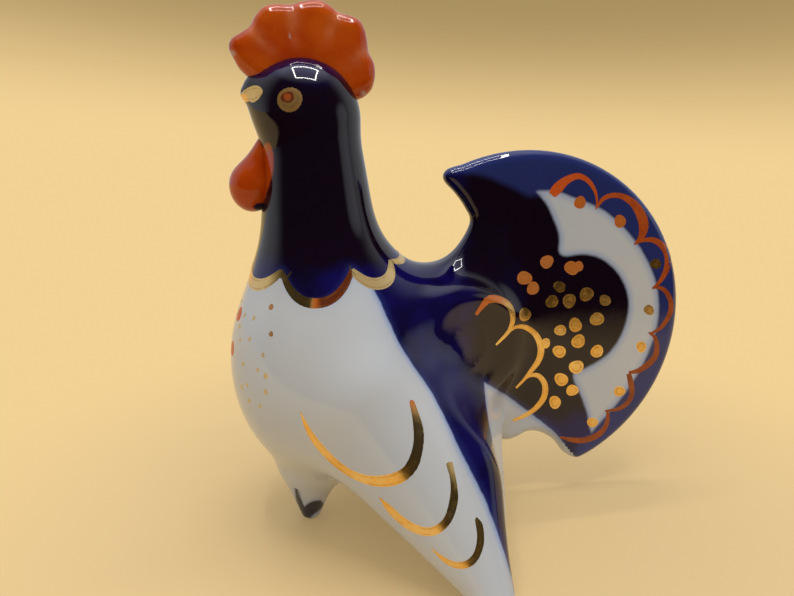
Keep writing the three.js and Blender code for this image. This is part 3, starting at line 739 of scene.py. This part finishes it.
class Nodes:
    """A short way to write a node material. A value is a number, a colour or a socket, and the
    coordinates are metres."""

    def __init__(self, name, kind=bpy.data.materials):
        self.material = kind.new(name)
        self.material.use_nodes = True
        self.tree = self.material.node_tree
        self.tree.nodes.clear()

    def add(self, kind, inputs=None, **settings):
        node = self.tree.nodes.new("ShaderNode" + kind)
        for key, value in settings.items():
            setattr(node, key, value)
        for key, value in (inputs or {}).items():
            socket = node.inputs[key]
            if isinstance(value, bpy.types.NodeSocket):
                self.tree.links.new(value, socket)
            else:
                socket.default_value = (*value, 1) if socket.type == "RGBA" else value
        return node

    def attribute(self, name):
        return self.add("Attribute", attribute_name=name).outputs["Fac"]

    def place(self):
        return self.add("TexCoord").outputs["Object"]

    def noise(self, scale, detail=3.0, roughness=0.5):
        return self.add("TexNoise", {
            "Vector": self.place(), "Scale": scale, "Detail": detail, "Roughness": roughness
        }).outputs["Fac"]

    def math(self, operation, a, b=0.0, clamp=False):
        return self.add("Math", {0: a, 1: b}, operation=operation, use_clamp=clamp).outputs[0]

    def plus(self, a, b):
        return self.math("ADD", a, b)

    def times(self, a, b, clamp=False):
        return self.math("MULTIPLY", a, b, clamp)

    def ramp(self, value, low, high, to_low=0.0, to_high=1.0, smooth=True):
        ends = {"From Min": low, "From Max": high, "To Min": to_low, "To Max": to_high}
        kind = "SMOOTHSTEP" if smooth else "LINEAR"
        return self.add(
            "MapRange", {"Value": value, **ends}, interpolation_type=kind).outputs["Result"]

    def mix(self, share, a, b):
        return self.add("Mix", {0: share, 6: a, 7: b}, data_type="RGBA").outputs[2]

    def bump(self, height, strength, distance):
        return self.add("Bump", {
            "Height": height, "Strength": strength, "Distance": distance
        }).outputs["Normal"]

    def surface(self, colour, roughness, normal, **settings):
        return self.add("BsdfPrincipled", {
            "Base Color": colour, "Roughness": roughness, "Normal": normal, **settings
        }).outputs[0]

    def finish(self, shader, out="OutputMaterial"):
        self.add(out, {"Surface": shader})
        return self.material


WHITE = (0.61, 0.63, 0.655)
WHITE_COOL = (0.56, 0.60, 0.665)
COBALT_BLACK = (0.0055, 0.0012, 0.0075)
COBALT_DEEP = (0.0045, 0.0020, 0.035)
COBALT = (0.006, 0.0035, 0.085)
COBALT_THIN = (0.030, 0.045, 0.23)
BLEED = (0.27, 0.37, 0.66)
ORANGE_RED = (0.43, 0.044, 0.0010)
ORANGE = (0.54, 0.088, 0.0025)
VERMILION = (0.66, 0.100, 0.008)
GOLD = (0.86, 0.52, 0.15)
GOLD_PALE = (0.90, 0.64, 0.28)
GOLD_WORN = (0.68, 0.53, 0.27)
COPPER = (0.62, 0.15, 0.018)
COPPER_DARK = (0.11, 0.018, 0.005)
RED_BROWN = (0.36, 0.070, 0.006)
RED_DARK = (0.22, 0.036, 0.005)
RED_PAINT = (0.62, 0.03, 0.01)
TOE_BLACK = (0.010, 0.013, 0.034)
BARE_CLAY = (0.50, 0.44, 0.42)
RIM_BLUE = (0.018, 0.030, 0.15)
# Colour of the painted highlight streaks in the comb's grooves
COMB_GROOVE_HIGHLIGHT = (0.80, 0.42, 0.22)
RING_BROWN = (0.34, 0.16, 0.04)


def glaze_surface(n, colour, gloss=0.035, dull=0.0, ior=1.52):
    """A smooth glaze: faint waves from firing, fine pinholes and wiped, duller places."""
    wave = n.noise(90.0, 2.0)
    fine = n.noise(900.0, 3.0)
    handled = n.noise(35.0, 4.0, 0.6)
    roughness = n.ramp(handled, 0.45, 0.75, gloss, gloss + 0.06)
    roughness = n.plus(roughness, n.times(dull, 0.16))
    height = n.plus(n.times(wave, 0.75), n.times(fine, 0.06))
    normal = n.bump(height, 0.25, 0.0004)
    return n.finish(n.surface(colour, roughness, normal, IOR=ior))


def skin_material(name):
    """White glaze painted with cobalt under it. The vertex values are distances in millimetres
    to the edges of the painted areas, positive inside, but for thick and dull, 0 to 1."""
    n = Nodes(name)
    wobble = n.times(n.math("SUBTRACT", n.noise(420.0, 3.0), 0.5), 0.5)
    cobalt = n.plus(n.attribute("cobalt"), wobble)
    cloud = n.noise(60.0, 4.0, 0.6)
    depth = n.ramp(n.plus(cobalt, n.times(cloud, 2.0)), 0.6, 3.4)
    # The cobalt goes towards near black on the neck, head and tail face, with clouding
    thick = n.plus(n.attribute("thick"), n.ramp(cloud, 0.3, 0.7, -0.18, 0.18))
    blue = n.mix(n.ramp(cloud, 0.35, 0.65), COBALT, COBALT_DEEP)
    blue = n.mix(n.ramp(thick, 0.15, 0.85), blue, COBALT_BLACK)
    blue = n.mix(depth, n.mix(0.45, blue, COBALT_THIN), blue)
    white = n.mix(n.ramp(n.noise(25.0), 0.35, 0.7), WHITE, WHITE_COOL)
    haze = n.times(n.ramp(cobalt, -5.0, -0.5), 0.12)
    bleed = n.times(n.ramp(cobalt, -2.1, 0.3), 0.85)
    body = n.mix(n.math("MAXIMUM", bleed, haze), white, BLEED)
    colour = n.mix(n.ramp(cobalt, -0.30, 0.40), body, blue)
    rim = n.ramp(n.plus(n.attribute("rim"), wobble), -1.4, 1.4)
    rim_blue = n.mix(cloud, COBALT_THIN, RIM_BLUE)
    colour = n.mix(n.times(rim, 0.8), colour, rim_blue)
    reserve = n.plus(n.attribute("reserve"), n.times(wobble, 0.6))
    reserved = n.mix(n.ramp(reserve, 0.0, 2.4, 0.4, 1.0), BLEED, white)
    colour = n.mix(n.ramp(reserve, -0.6, 0.6), colour, reserved)
    toe = n.attribute("toe")
    colour = n.mix(n.ramp(toe, -1.2, 0.2, 0.0, 0.5), colour, BLEED)
    colour = n.mix(n.ramp(toe, -0.35, 0.35), colour, TOE_BLACK)
    red = n.mix(n.ramp(n.noise(70.0, 4.0, 0.6), 0.35, 0.7), ORANGE_RED, RED_BROWN)
    throat = n.plus(n.attribute("throat"), n.times(wobble, 1.5))
    colour = n.mix(n.ramp(throat, -0.35, 0.35), colour, red)
    return glaze_surface(n, colour, dull=n.attribute("dull"))


def comb_material(name):
    """Orange-red enamel with painted highlight streaks along its grooves, and worn through in
    places.
    """
    n = Nodes(name)
    cloud = n.noise(70.0, 4.0, 0.6)
    base = n.mix(n.ramp(cloud, 0.35, 0.7), ORANGE_RED, ORANGE)
    # Paler streaks along the grooves are painted highlights
    pale = n.times(n.attribute("pale"), n.ramp(n.noise(300.0), 0.35, 0.65, 0.1, 0.3))
    base = n.mix(pale, base, COMB_GROOVE_HIGHLIGHT)
    speck = n.plus(n.attribute("bare"), n.noise(500.0, 3.0))
    base = n.mix(n.times(n.ramp(speck, 0.75, 1.2), 0.55), base, BARE_CLAY)
    base = n.mix(n.ramp(n.attribute("dark"), -0.3, 0.3), base, COBALT_DEEP)
    return glaze_surface(n, base, 0.05, ior=1.42)


def gilt_material(name):
    """Fired gilding, brushed on by hand, in its tints and with a ring in each spot."""
    n = Nodes(name)
    brush = n.noise(500.0, 3.0, 0.6)
    patch = n.noise(130.0, 3.0)
    base = n.mix(n.ramp(patch, 0.35, 0.7), GOLD, GOLD_PALE)
    for low, high, colour in ((0, 1, COPPER), (1, 2, COPPER_DARK), (0, -1, GOLD_WORN)):
        base = n.mix(n.ramp(n.attribute("tint"), low, high), base, colour)
    off_ring = n.math("ABSOLUTE", n.math("SUBTRACT", n.attribute("across"), 0.62))
    ring = n.times(n.ramp(off_ring, 0.04, 0.16, 0.45, 0.0), n.ramp(brush, 0.35, 0.6))
    base = n.mix(ring, base, RING_BROWN)
    roughness = n.ramp(brush, 0.3, 0.8, 0.16, 0.30)
    metallic = n.ramp(n.math("ABSOLUTE", n.attribute("tint")), 0.0, 0.9, 1.0, 0.15)
    normal = n.bump(brush, 0.3, 0.0001)
    return n.finish(n.surface(base, roughness, normal, Metallic=metallic, IOR=1.5))


def paint_material(name, colour, second):
    """Enamel in two clouded colours, and brighter where its tint is 1."""
    n = Nodes(name)
    cloud = n.noise(260.0, 4.0, 0.6)
    base = n.mix(n.ramp(cloud, 0.35, 0.7), colour, second)
    base = n.mix(n.times(n.attribute("tint"), 1.0, True), base, VERMILION)
    roughness = n.ramp(n.noise(400.0), 0.3, 0.8, 0.18, 0.32)
    return n.finish(n.surface(base, roughness, n.bump(cloud, 0.3, 0.0002), IOR=1.5))


# Paint on the skin

def slide_down(points, out, lengths, steps=16):
    """Points moved down the skin by these lengths, on ways that lead down and outwards."""
    for _ in range(steps):
        n = normal_of(skin_field, points)
        way = 0.6 * out + [0, 0, -1.0]
        way -= (way * n).sum(1, keepdims=True) * n
        way /= np.linalg.norm(way, axis=1, keepdims=True)
        points = settle(skin_field, points + way * lengths[:, None] / steps, 2.0, 1)
    return settle(skin_field, points, 2.0, 3)


def collar_scallops(steps=22):
    """The scallops of the collar, each a line from cusp to cusp."""
    t = np.linspace(0, 1, steps)
    cusps = np.array(COLLAR_CUSPS)[:, None]
    angles = np.radians(cusps[:-1] + np.diff(cusps, axis=0) * t).ravel()
    drops = np.outer(COLLAR_DROPS, 1 - np.abs(2 * t - 1) ** 2.2).ravel()
    out = np.stack([-np.sin(angles), -np.cos(angles), 0 * angles], 1)
    ring = COLLAR_MIDDLE + out * COLLAR_RADIUS
    line = slide_down(settle(skin_field, ring, 4.0, 4), out, drops)
    return line.reshape(-1, steps, 3)


scallops = collar_scallops()
collar_line = PaintedLine(np.vstack([part[:-1] for part in scallops]), closed=True)


def cobalt_edge(steps=14, hollow=5.0):
    """The edge of the cobalt: down the breast and wing to its tip, up behind the wing out of
    the photograph's sight, and on below the tail."""
    front = cast(smooth_line(COBALT_FRONT, 3))
    rear = cast(smooth_line(COBALT_REAR, 3))
    t = np.linspace(0, 1, steps)[:, None]
    behind = COBALT_HEEL * (1 - t) + rear[0] * t + [hollow, 0, 0] * np.sin(np.pi * t)   # bowed
    return np.vstack([front, settle(skin_field, behind, 6.0, 5)[:-1], rear])


cobalt_line = PaintedLine(cobalt_edge())
FAR = 20.0              # mm
TAIL_PAINT_X = -14.0    # where the paint of the neck ends and that of the tail begins


def paint_skin(points, normals):
    """The values that skin_material reads. FAR stands for well inside or outside an area."""
    x, z = points[:, 0], points[:, 2]
    near = mirrored(points)
    cobalt = -cobalt_line.signed(near)
    cobalt = np.where((x > 12) & (z > 45), FAR, cobalt)         # all of the tail's face
    white_below = (normals[:, 2] + 0.45) * 12                   # what faces the table
    cobalt = np.where((z < 60) & (x < 6), np.minimum(cobalt, white_below), cobalt)
    collar = collar_line.signed(points)
    neck = np.where(np.abs(collar) < 5, -collar, np.where(z > 76, FAR, -FAR))
    cobalt = np.maximum(cobalt, np.where(x > TAIL_PAINT_X, -FAR, neck))
    band = smooth_line(RIM_BAND, 4).tolist() + RIM_OUTSIDE
    reserve = smooth_line(RESERVE_OUTER, 4).tolist() + smooth_line(RESERVE_INNER, 4).tolist()
    toe = np.maximum(sd_pixels(points, TOE_BLOT), sd_pixels(points, TOE_STRIP))
    red = smooth_line(THROAT_RED + THROAT_RED[:1], 4)[:-1].tolist()
    # Darker cobalt on the neck and head, less on top of the head, and on the tail's face
    above_collar = fade(z, 75, 84) * fade(x, -18, -26) * (1 - 0.55 * fade(z, 122, 128))
    on_tail = fade(np.hypot(x - 20, z - 72), 58, 40) * fade(x, -8, 1)
    to_hollow = np.linalg.norm(near - cast([WING_HOLLOW]), axis=1)
    return {
        "cobalt": cobalt,
        "rim": np.where(x > TAIL_PAINT_X, sd_pixels(points, band), -FAR),
        "reserve": np.where(x > 0, sd_pixels(points, reserve), -FAR),
        "toe": np.where((x < -38) & (z < 14), toe, -5),         # on the foot only
        "throat": np.where((x < -48) & (z > 85), sd_pixels(points, red), -5),
        "thick": np.maximum(above_collar, 0.85 * on_tail),
        "dull": fade(to_hollow, 16, 8),
    }


skin = surface_of(skin_field, (-73, -54, -4), (72, 54, 136), GRID)
skin_glaze = skin_material("painted_glaze")
for bm, (name, node, slot, *_) in zip(cut_skin(*skin), SKIN_PIECES):
    piece = make_piece(name, bm, skin_field, skin_glaze, paint_skin)
    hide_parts(node)


def comb_paint(points, normals):
    """The values that comb_material reads. Wear is on the near side only."""
    spots = seen_at(mirrored(points))
    bare = sum(np.exp(-(np.hypot(spots[:, 0] - x, spots[:, 1] - y) / r) ** 2)
               for x, y, r in COMB_WEAR)
    bare *= fade(points[:, 1], 1, -1)
    dark = np.where(points[:, 2] < 100, sd_pixels(points, WATTLE_BARE), -5)
    # pale: how deep a point lies in a groove, which places the painted highlight streaks
    return {"pale": comb_groove(points), "bare": bare, "dark": dark}


SUNK = 0.6      # how far comb and wattle reach into the skin, in mm
red_glaze = comb_material("orange_red_glaze")
for name, node, field, low, high in (
    ("red_comb", "comb", comb_field, (-68, -8, 112), (-22, 8, 148)),
    ("red_wattle", "wattle", wattle_field, (-70, -8, 88), (-50, 8, 116)),
):
    solid = surface_of(
        lambda p: soft_max(field(p), -(skin_field(p) + SUNK), 0.3), low, high, COMB_GRID)
    piece = make_piece(
        name, mesh_of(*solid), field, red_glaze, comb_paint)
    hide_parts(node)

# Ornament: strokes and spots of gilding and enamel, slightly raised on the glaze. Heights in mm

ACROSS = np.array([-1.0, -0.85, 0.0, 0.85, 1.0])        # places across a stroke
STROKE_HEIGHTS = np.array([-0.01, 0.05, 0.09, 0.05, -0.01])
RINGS = np.array([0.0, 0.5, 0.88, 1.0])                 # places from a spot's middle outwards
RING_HEIGHTS = np.array([0.07, 0.07, 0.06, -0.01])
SPOT_CORNERS = 18
DEPTH = 0.25        # how far the underside lies in the glaze
TOP_SLOPE = 0.3     # faces that lean less than this from the skin shine as it does


def along(line, count):
    """The line with the given number of evenly spaced points."""
    line = np.array(line, float)
    reach = np.concatenate([[0], np.cumsum(np.linalg.norm(np.diff(line, axis=0), axis=1))])
    t = np.linspace(0, reach[-1], count)
    return np.stack([np.interp(t, reach, line[:, k]) for k in range(line.shape[1])], 1)


# A mark is the function that builds it, a grid of spots in the photograph's frame, and a tint
# for each row of the grid.

def stroke(rows, tints=(0,)):
    """A brush stroke along a line."""
    rows = smooth_line(rows, 3)
    way = np.gradient(rows[:, :2], axis=0)
    side = np.stack([-way[:, 1], way[:, 0]], 1) / np.linalg.norm(way, axis=1, keepdims=True)
    offset = side[:, None] * (ACROSS[:, None] * rows[:, 2, None, None] / 2)
    return sheet(rows[:, None, :2] + offset, tints)


def crescent(outer, inner, tints, count=34):
    """A stroke between two edges, with a round end."""
    a, b = along(smooth_line(outer, 4), count), along(smooth_line(inner, 4), count)
    tip = (a[-1] + b[-1]) / 2 + (a[-1] + b[-1] - a[-2] - b[-2]) / 4
    a, b = (np.vstack([edge, edge[-1] * 0.4 + tip * 0.6]) for edge in (a, b))
    t = (ACROSS[:, None] + 1) / 2
    return sheet(a[:, None] * (1 - t) + b[:, None] * t, tints)


def sheet(grid, tints):
    """A stroke's mark, with its tints spread evenly over its length."""
    tint = np.interp(np.linspace(0, 1, len(grid)), np.linspace(0, 1, len(tints)), tints)
    return stroke_mesh, grid, tint


def spot(x, y, radius, tint=0.0, rough=0.07):
    """A hand-painted spot, out of round by the share rough."""
    a = np.linspace(0, 2 * np.pi, SPOT_CORNERS, endpoint=False)
    turn = rng.uniform(0, 6.28, 2)
    r = radius * (1 + rough * np.sin(2 * a + turn[0]) + 0.6 * rough * np.sin(3 * a + turn[1]))
    outline = np.stack([x + r * np.cos(a), y + r * np.sin(a)], 1)
    outline = along(np.vstack([outline, outline[:1]]), SPOT_CORNERS + 1)[:-1]
    grid = np.array([x, y]) + RINGS[:, None, None] * (outline[None] - [x, y])
    return spot_mesh, grid, np.full(len(grid), tint)


def lay(marks):
    """Casts all the marks on the skin. Gives vertices, faces, across and tint for each."""
    marks = list(marks)
    flat = cast(np.vstack([grid.reshape(-1, 2) for _, grid, _ in marks]))
    ends = np.cumsum([grid[..., 0].size for _, grid, _ in marks])[:-1]
    return [
        build(p.reshape(*grid.shape[:2], 3), n.reshape(*grid.shape[:2], 3), tint)
        for (build, grid, tint), p, n in zip(
            marks, np.split(flat, ends), np.split(normal_of(skin_field, flat), ends))]


def stroke_mesh(p, n, tint):
    """A closed strip over rows of points p on the skin with their normals n."""
    top = p + n * STROKE_HEIGHTS[:, None]
    under = p[:, 2:3] - n[:, 2:3] * DEPTH
    rows = np.concatenate([top, under], 1)
    count, wide = rows.shape[:2]
    faces = []
    for i in range(count - 1):
        for c in range(wide):
            d = (c + 1) % wide
            faces.append((i * wide + c, i * wide + d, (i + 1) * wide + d, (i + 1) * wide + c))
    faces.append(tuple(range(wide - 1, -1, -1)))
    faces.append(tuple((count - 1) * wide + c for c in range(wide)))
    across = np.tile(np.append(np.abs(ACROSS), 0), count)
    return rows.reshape(-1, 3), faces, across, np.repeat(tint, wide)


def spot_mesh(p, n, tint):
    """A closed drop over rings of points p on the skin with their normals n."""
    rings = p + n * RING_HEIGHTS[:, None, None]
    middle, low = rings[0, :1], rings[0, :1] - n[0, :1] * (DEPTH + RING_HEIGHTS[0])
    verts = np.vstack([middle, rings[1:].reshape(-1, 3), low])
    k = rings.shape[1]
    faces = []
    for c in range(k):
        d = (c + 1) % k
        faces.append((0, 1 + c, 1 + d))
        for ring in range(len(RINGS) - 2):
            a, b = 1 + ring * k, 1 + (ring + 1) * k
            faces.append((a + c, b + c, b + d, a + d))
        edge = 1 + (len(RINGS) - 2) * k
        faces.append((edge + c, len(verts) - 1, edge + d))
    across = np.concatenate([[0], np.repeat(RINGS[1:], k), [0]])
    return verts, faces, across, np.full(len(verts), tint[0])


def round_spots(middles, radii, tints, rough=0.06):
    """Spots that are round on the skin itself, around points of it."""
    a = np.linspace(0, 2 * np.pi, SPOT_CORNERS, endpoint=False)
    n = normal_of(skin_field, middles)
    u = np.cross(n, [0, 0, 1.0])
    u /= np.linalg.norm(u, axis=1, keepdims=True)
    v = np.cross(n, u)
    turn = rng.uniform(0, 6.28, (len(middles), 1))
    r = np.array(radii)[:, None] * (1 + rough * np.sin(2 * a + turn) + rough * np.sin(3 * a))
    edge = (r * np.cos(a))[..., None] * u[:, None] + (r * np.sin(a))[..., None] * v[:, None]
    grid = middles[:, None, None] + RINGS[:, None, None] * edge[:, None]
    flat, normals = laid(grid, 2.0)
    return [spot_mesh(p, n, np.full(len(p), t)) for p, n, t in zip(flat, normals, tints)]


def laid(grid, limit):
    """Points of any grid settled on the skin, with their normals."""
    flat = settle(skin_field, grid.reshape(-1, 3), limit)
    return flat.reshape(grid.shape), normal_of(skin_field, flat).reshape(grid.shape)


def ribbon(lines, halves, tints):
    """Painted strips along lines on the skin, with their half widths at each point."""
    way = np.gradient(lines, axis=1)
    side = np.cross(way, normal_of(skin_field, lines))
    side /= np.linalg.norm(side, axis=-1, keepdims=True)
    grid = lines[:, :, None] + side[:, :, None] * (ACROSS[:, None] * halves[:, :, None, None])
    flat, normals = laid(grid, 1.5)
    return [stroke_mesh(p, n, t) for p, n, t in zip(flat, normals, tints)]


def make_marks(name, parts, material, both=True):
    """One piece of painted ornament, and its mirror image on the far side."""
    flips = (1, -1) if both else (1,)
    faces, base = [], 0
    for flip in flips:
        for p, f, _, _ in parts:
            faces += [tuple(base + i for i in face[::flip]) for face in f]
            base += len(p)
    points = np.vstack([p * [1, flip, 1] for flip in flips for p, *_ in parts])
    across, tint = ([part[k] for part in parts] * len(flips) for k in (2, 3))
    mesh = bpy.data.meshes.new(name)
    mesh.from_pydata(((points + SHIFT) * MM).tolist(), [], faces)
    bm = bmesh.new()
    bm.from_mesh(mesh)
    bmesh.ops.recalc_face_normals(bm, faces=bm.faces)
    bm.to_mesh(mesh)
    bm.free()
    store(mesh, {"across": np.concatenate(across), "tint": np.concatenate(tint)})
    mesh.polygons.foreach_set("use_smooth", [True] * len(mesh.polygons))
    mesh.update()
    set_normals(mesh, normal_of(skin_field, points),
                lambda normal, face: normal @ np.array(face.normal) > TOP_SLOPE)
    add_object(name, mesh, material)


gold = gilt_material("gilding")
enamel = paint_material("red_brown_enamel", RED_BROWN, RED_DARK)
red = paint_material("red_enamel", RED_PAINT, ORANGE_RED)

make_marks("tail_garland", lay(map(stroke, GARLAND, GARLAND_TINTS)), enamel)
make_marks("tail_root_scallops", lay(map(stroke, ROOT_SCALLOPS, ROOT_TINTS)), gold)

dots = [spot(*row, tint) for row, tint in zip(RIM_SPOTS, RIM_SPOT_TINTS)]
dots += [spot(*row, COPPER_SPOT_TINT) for row in COPPER_SPOTS]
dots += [spot(*row) for row in GOLD_SPOTS]
make_marks("tail_spots", lay(dots), gold)

moons = [crescent(*edges, tints) for edges, tints in zip(CRESCENTS, CRESCENT_TINTS)]
make_marks("wing_crescents", lay(moons), gold)

tints = np.full(len(BREAST_SPOTS), PALE_TINT)
tints[DARK_BREAST_SPOTS] = DARK_TINT
radii = rng.uniform(*BREAST_RADII_RANGE, len(BREAST_SPOTS))
breast = round_spots(cast(BREAST_SPOTS), radii, tints)
make_marks("breast_spots", breast, gold)

eye = lay([
    spot(*EYE, EYE_TINT, 0.03), spot(*EYE_RING, EYE_RING_TINT, 0.12), spot(*IRIS, 0.0, 0.05)])
eye = [(p + LIFT * k, *rest) for k, (p, *rest) in enumerate(eye)]
make_marks("eye_gilding", eye[:2], gold)
make_marks("iris_enamel", eye[2:], enamel)

swell = 0.5 + 0.75 * np.sin(np.linspace(0, np.pi, scallops.shape[1])) ** 0.6
collar_tints = np.zeros(scallops.shape[:2])
# The near scallop turns red-brown along part of its line: a painted reflection
collar_tints[NEAR_SCALLOP] = np.interp(np.linspace(0, 1, scallops.shape[1]), *NEAR_RED_REFLECTION)
collar_tints[PALE_SCALLOP] = PALE_SCALLOP_TINT
collar = ribbon(scallops, np.outer(COLLAR_WIDTHS, swell), collar_tints)
make_marks("gilt_collar", collar, gold, both=False)

near_beak = cast([(x, y) for x, y, _ in BEAK_GILT])
tip = settle(skin_field, near_beak[-1:] * [1, 0, 1] - [1, 0, 0], 4.0, 5)
beak_line = smooth_line(np.vstack([near_beak, tip, near_beak[::-1] * [1, -1, 1]]), 3)
widths = [width for _, _, width in BEAK_GILT]
widths = np.array(widths + [BEAK_TIP_WIDTH] + widths[::-1])
beak_half = smooth_line(widths[:, None] / 2, 3)[:, 0]
beak = ribbon(beak_line[None], beak_half[None], np.full((1, len(beak_line)), BEAK_TINT))
beak += round_spots(tip, [BEAK_TIP_RADIUS], [BEAK_TINT], 0)
make_marks("beak_gilding", beak, gold, both=False)

make_marks("collar_ticks", lay(map(stroke, COLLAR_TICKS)), gold)

# The red spots face away from the camera: columns of points are moved back onto the breast,
# and each spot gets the point at its row.
AHEAD_OF_BREAST, BREAST_HEIGHTS = -74.0, np.linspace(35, 75, 120)
columns = np.stack(
    np.meshgrid([AHEAD_OF_BREAST], [y for y, _ in RED_SPOTS], BREAST_HEIGHTS), -1)
columns = columns.reshape(len(RED_SPOTS), -1, 3)
for _ in range(20):
    columns[..., 0] += skin_field(columns) * 0.8
middles = np.array([
    column[np.argmin(abs(seen_at(column)[:, 1] - row))]
    for column, (_, row) in zip(columns, RED_SPOTS)])
red_spots = round_spots(middles, [RED_SPOT_RADIUS] * 2, (0, 0), 0.04)
make_marks("red_breast_spots", red_spots, red)

# Floor, light and camera, in metres of the row frame

CREAM, BROWN = (0.89, 0.64, 0.30), (0.40, 0.28, 0.115)
WARM_FLOOR, PALE_FLOOR = (0.83, 0.585, 0.27), (0.86, 0.625, 0.31)
DAYLIGHT = (0.93, 0.96, 1.0)
DARK_ROOM, SOFT_LIGHT = 0.035, 0.55             # strengths
WALL_LIGHT, CEILING_LIGHT, WINDOW_LIGHT = 0.6, 0.7, 0.65
WINDOW_WAY = (0.947, -0.272, 0.174)             # direction of the window


def floor_material():
    """Plain pale paper. It keeps the figurine's shadow near it and has one even tone farther
    off. In reflections its far front lies in the dark, as in the photograph."""
    n = Nodes("pale_floor")
    tone = n.mix(n.ramp(n.noise(2.5, 2.0), 0.3, 0.7), WARM_FLOOR, PALE_FLOOR)
    paper = n.surface(tone, 0.6, n.bump(n.noise(700.0), 0.15, 0.0003))
    depth = n.add("SeparateXYZ", {0: n.place()}).outputs["Y"]
    paths = n.add("LightPath").outputs
    seen = n.math("MAXIMUM", paths["Is Camera Ray"], paths["Is Glossy Ray"])
    reach = n.add("VectorMath", {0: n.place()}, operation="LENGTH").outputs["Value"]
    far = n.times(seen, n.ramp(reach, 0.05, 0.20, 0.2, 1.0))
    glow = n.add("Emission", {"Color": CREAM}).outputs[0]
    lit = n.add("MixShader", {0: far, 1: paper, 2: glow}).outputs[0]
    front = n.times(paths["Is Glossy Ray"], n.ramp(depth, -0.13, -0.25))
    dark = n.add("Emission", {"Color": CREAM, "Strength": DARK_ROOM}).outputs[0]
    return n.finish(n.add("MixShader", {0: front, 1: lit, 2: dark}).outputs[0])


def plain_floor(reach=30.0, gap=0.00005):
    """A wide floor just under the figurine."""
    mesh = bpy.data.meshes.new("floor")
    corners = [(x * reach, y * reach, -gap) for x, y in ((-1, -1), (1, -1), (1, 1), (-1, 1))]
    mesh.from_pydata(corners, [], [(0, 1, 2, 3)])
    mesh.materials.append(floor_material())
    floor = placed("floor", mesh)


plain_floor()

LAMP_HEIGHT, LAMP_REACH, LAMP_WIDTH = 0.50, 0.105, 0.008
LAMP_CENTRE = (-0.02, -0.06)
LAMP_POWER, LAMP_COLOUR = 0.27, (1.0, 0.97, 0.92)


def square_lamp():
    """A square of four thin lamps overhead, which shows as an outline in the glaze."""
    for k, (dx, dy) in enumerate(((0, 1), (0, -1), (1, 0), (-1, 0))):
        light = bpy.data.lights.new(f"lamp_strip_{k}", "AREA")
        light.shape = "RECTANGLE"
        light.size = 2 * LAMP_REACH if dy else LAMP_WIDTH
        light.size_y = LAMP_WIDTH if dy else 2 * LAMP_REACH
        light.energy, light.color = LAMP_POWER, LAMP_COLOUR
        x, y = LAMP_CENTRE
        lamp = placed(light.name, light)
        lamp.location = (x + dx * LAMP_REACH, y + dy * LAMP_REACH, LAMP_HEIGHT)


square_lamp()


def room_world():
    """Even soft light from all round. In the glaze the room shows brighter walls beside and
    behind the figurine, a window on the right, a lit ceiling and a dark front. The camera sees
    a plain backdrop that darkens upwards."""
    n = Nodes("room", bpy.data.worlds)
    direction = n.add("TexCoord").outputs["Generated"]
    way = n.add("SeparateXYZ", {0: direction}).outputs
    paths = n.add("LightPath").outputs
    walls = n.ramp(way["Y"], -0.32, 0.2, DARK_ROOM, WALL_LIGHT)
    ceiling = n.ramp(way["Z"], 0.80, 0.93, 0.0, CEILING_LIGHT)
    to_window = n.add(
        "VectorMath", {0: direction, 1: WINDOW_WAY}, operation="DOT_PRODUCT").outputs["Value"]
    window = n.ramp(to_window, 0.955, 1.0, 0.0, WINDOW_LIGHT)
    room = n.plus(walls, n.math("MAXIMUM", ceiling, window))
    strength = n.ramp(paths["Is Glossy Ray"], 0, 1, SOFT_LIGHT, room, False)
    strength = n.ramp(paths["Is Camera Ray"], 0, 1, strength, 1.0, False)
    rise = n.plus(way["Z"], n.times(way["X"], 0.06))
    sky = n.mix(n.ramp(rise, 0.04, 0.28), CREAM, BROWN)
    colour = n.mix(paths["Is Camera Ray"], DAYLIGHT, sky)
    light = n.add("Background", {"Color": colour, "Strength": strength}).outputs[0]
    bpy.context.scene.world = n.finish(light, "OutputWorld")


room_world()

SENSOR_WIDTH = 36.0
camera_data = bpy.data.cameras.new("camera")
camera_data.sensor_width = SENSOR_WIDTH
camera_data.lens = SENSOR_WIDTH * FOCAL_PX / PHOTO_WIDTH
camera_data.clip_start = 0.01
camera = placed("camera", camera_data)
turn = Matrix(np.stack([RIGHT, ABOVE, -AHEAD], 1).tolist()).to_4x4()
camera.matrix_world = Matrix.Translation(Vector((CAMERA_PLACE + SHIFT) * MM)) @ turn
bpy.context.scene.camera = camera
bpy.context.scene.view_settings.view_transform = "Standard"
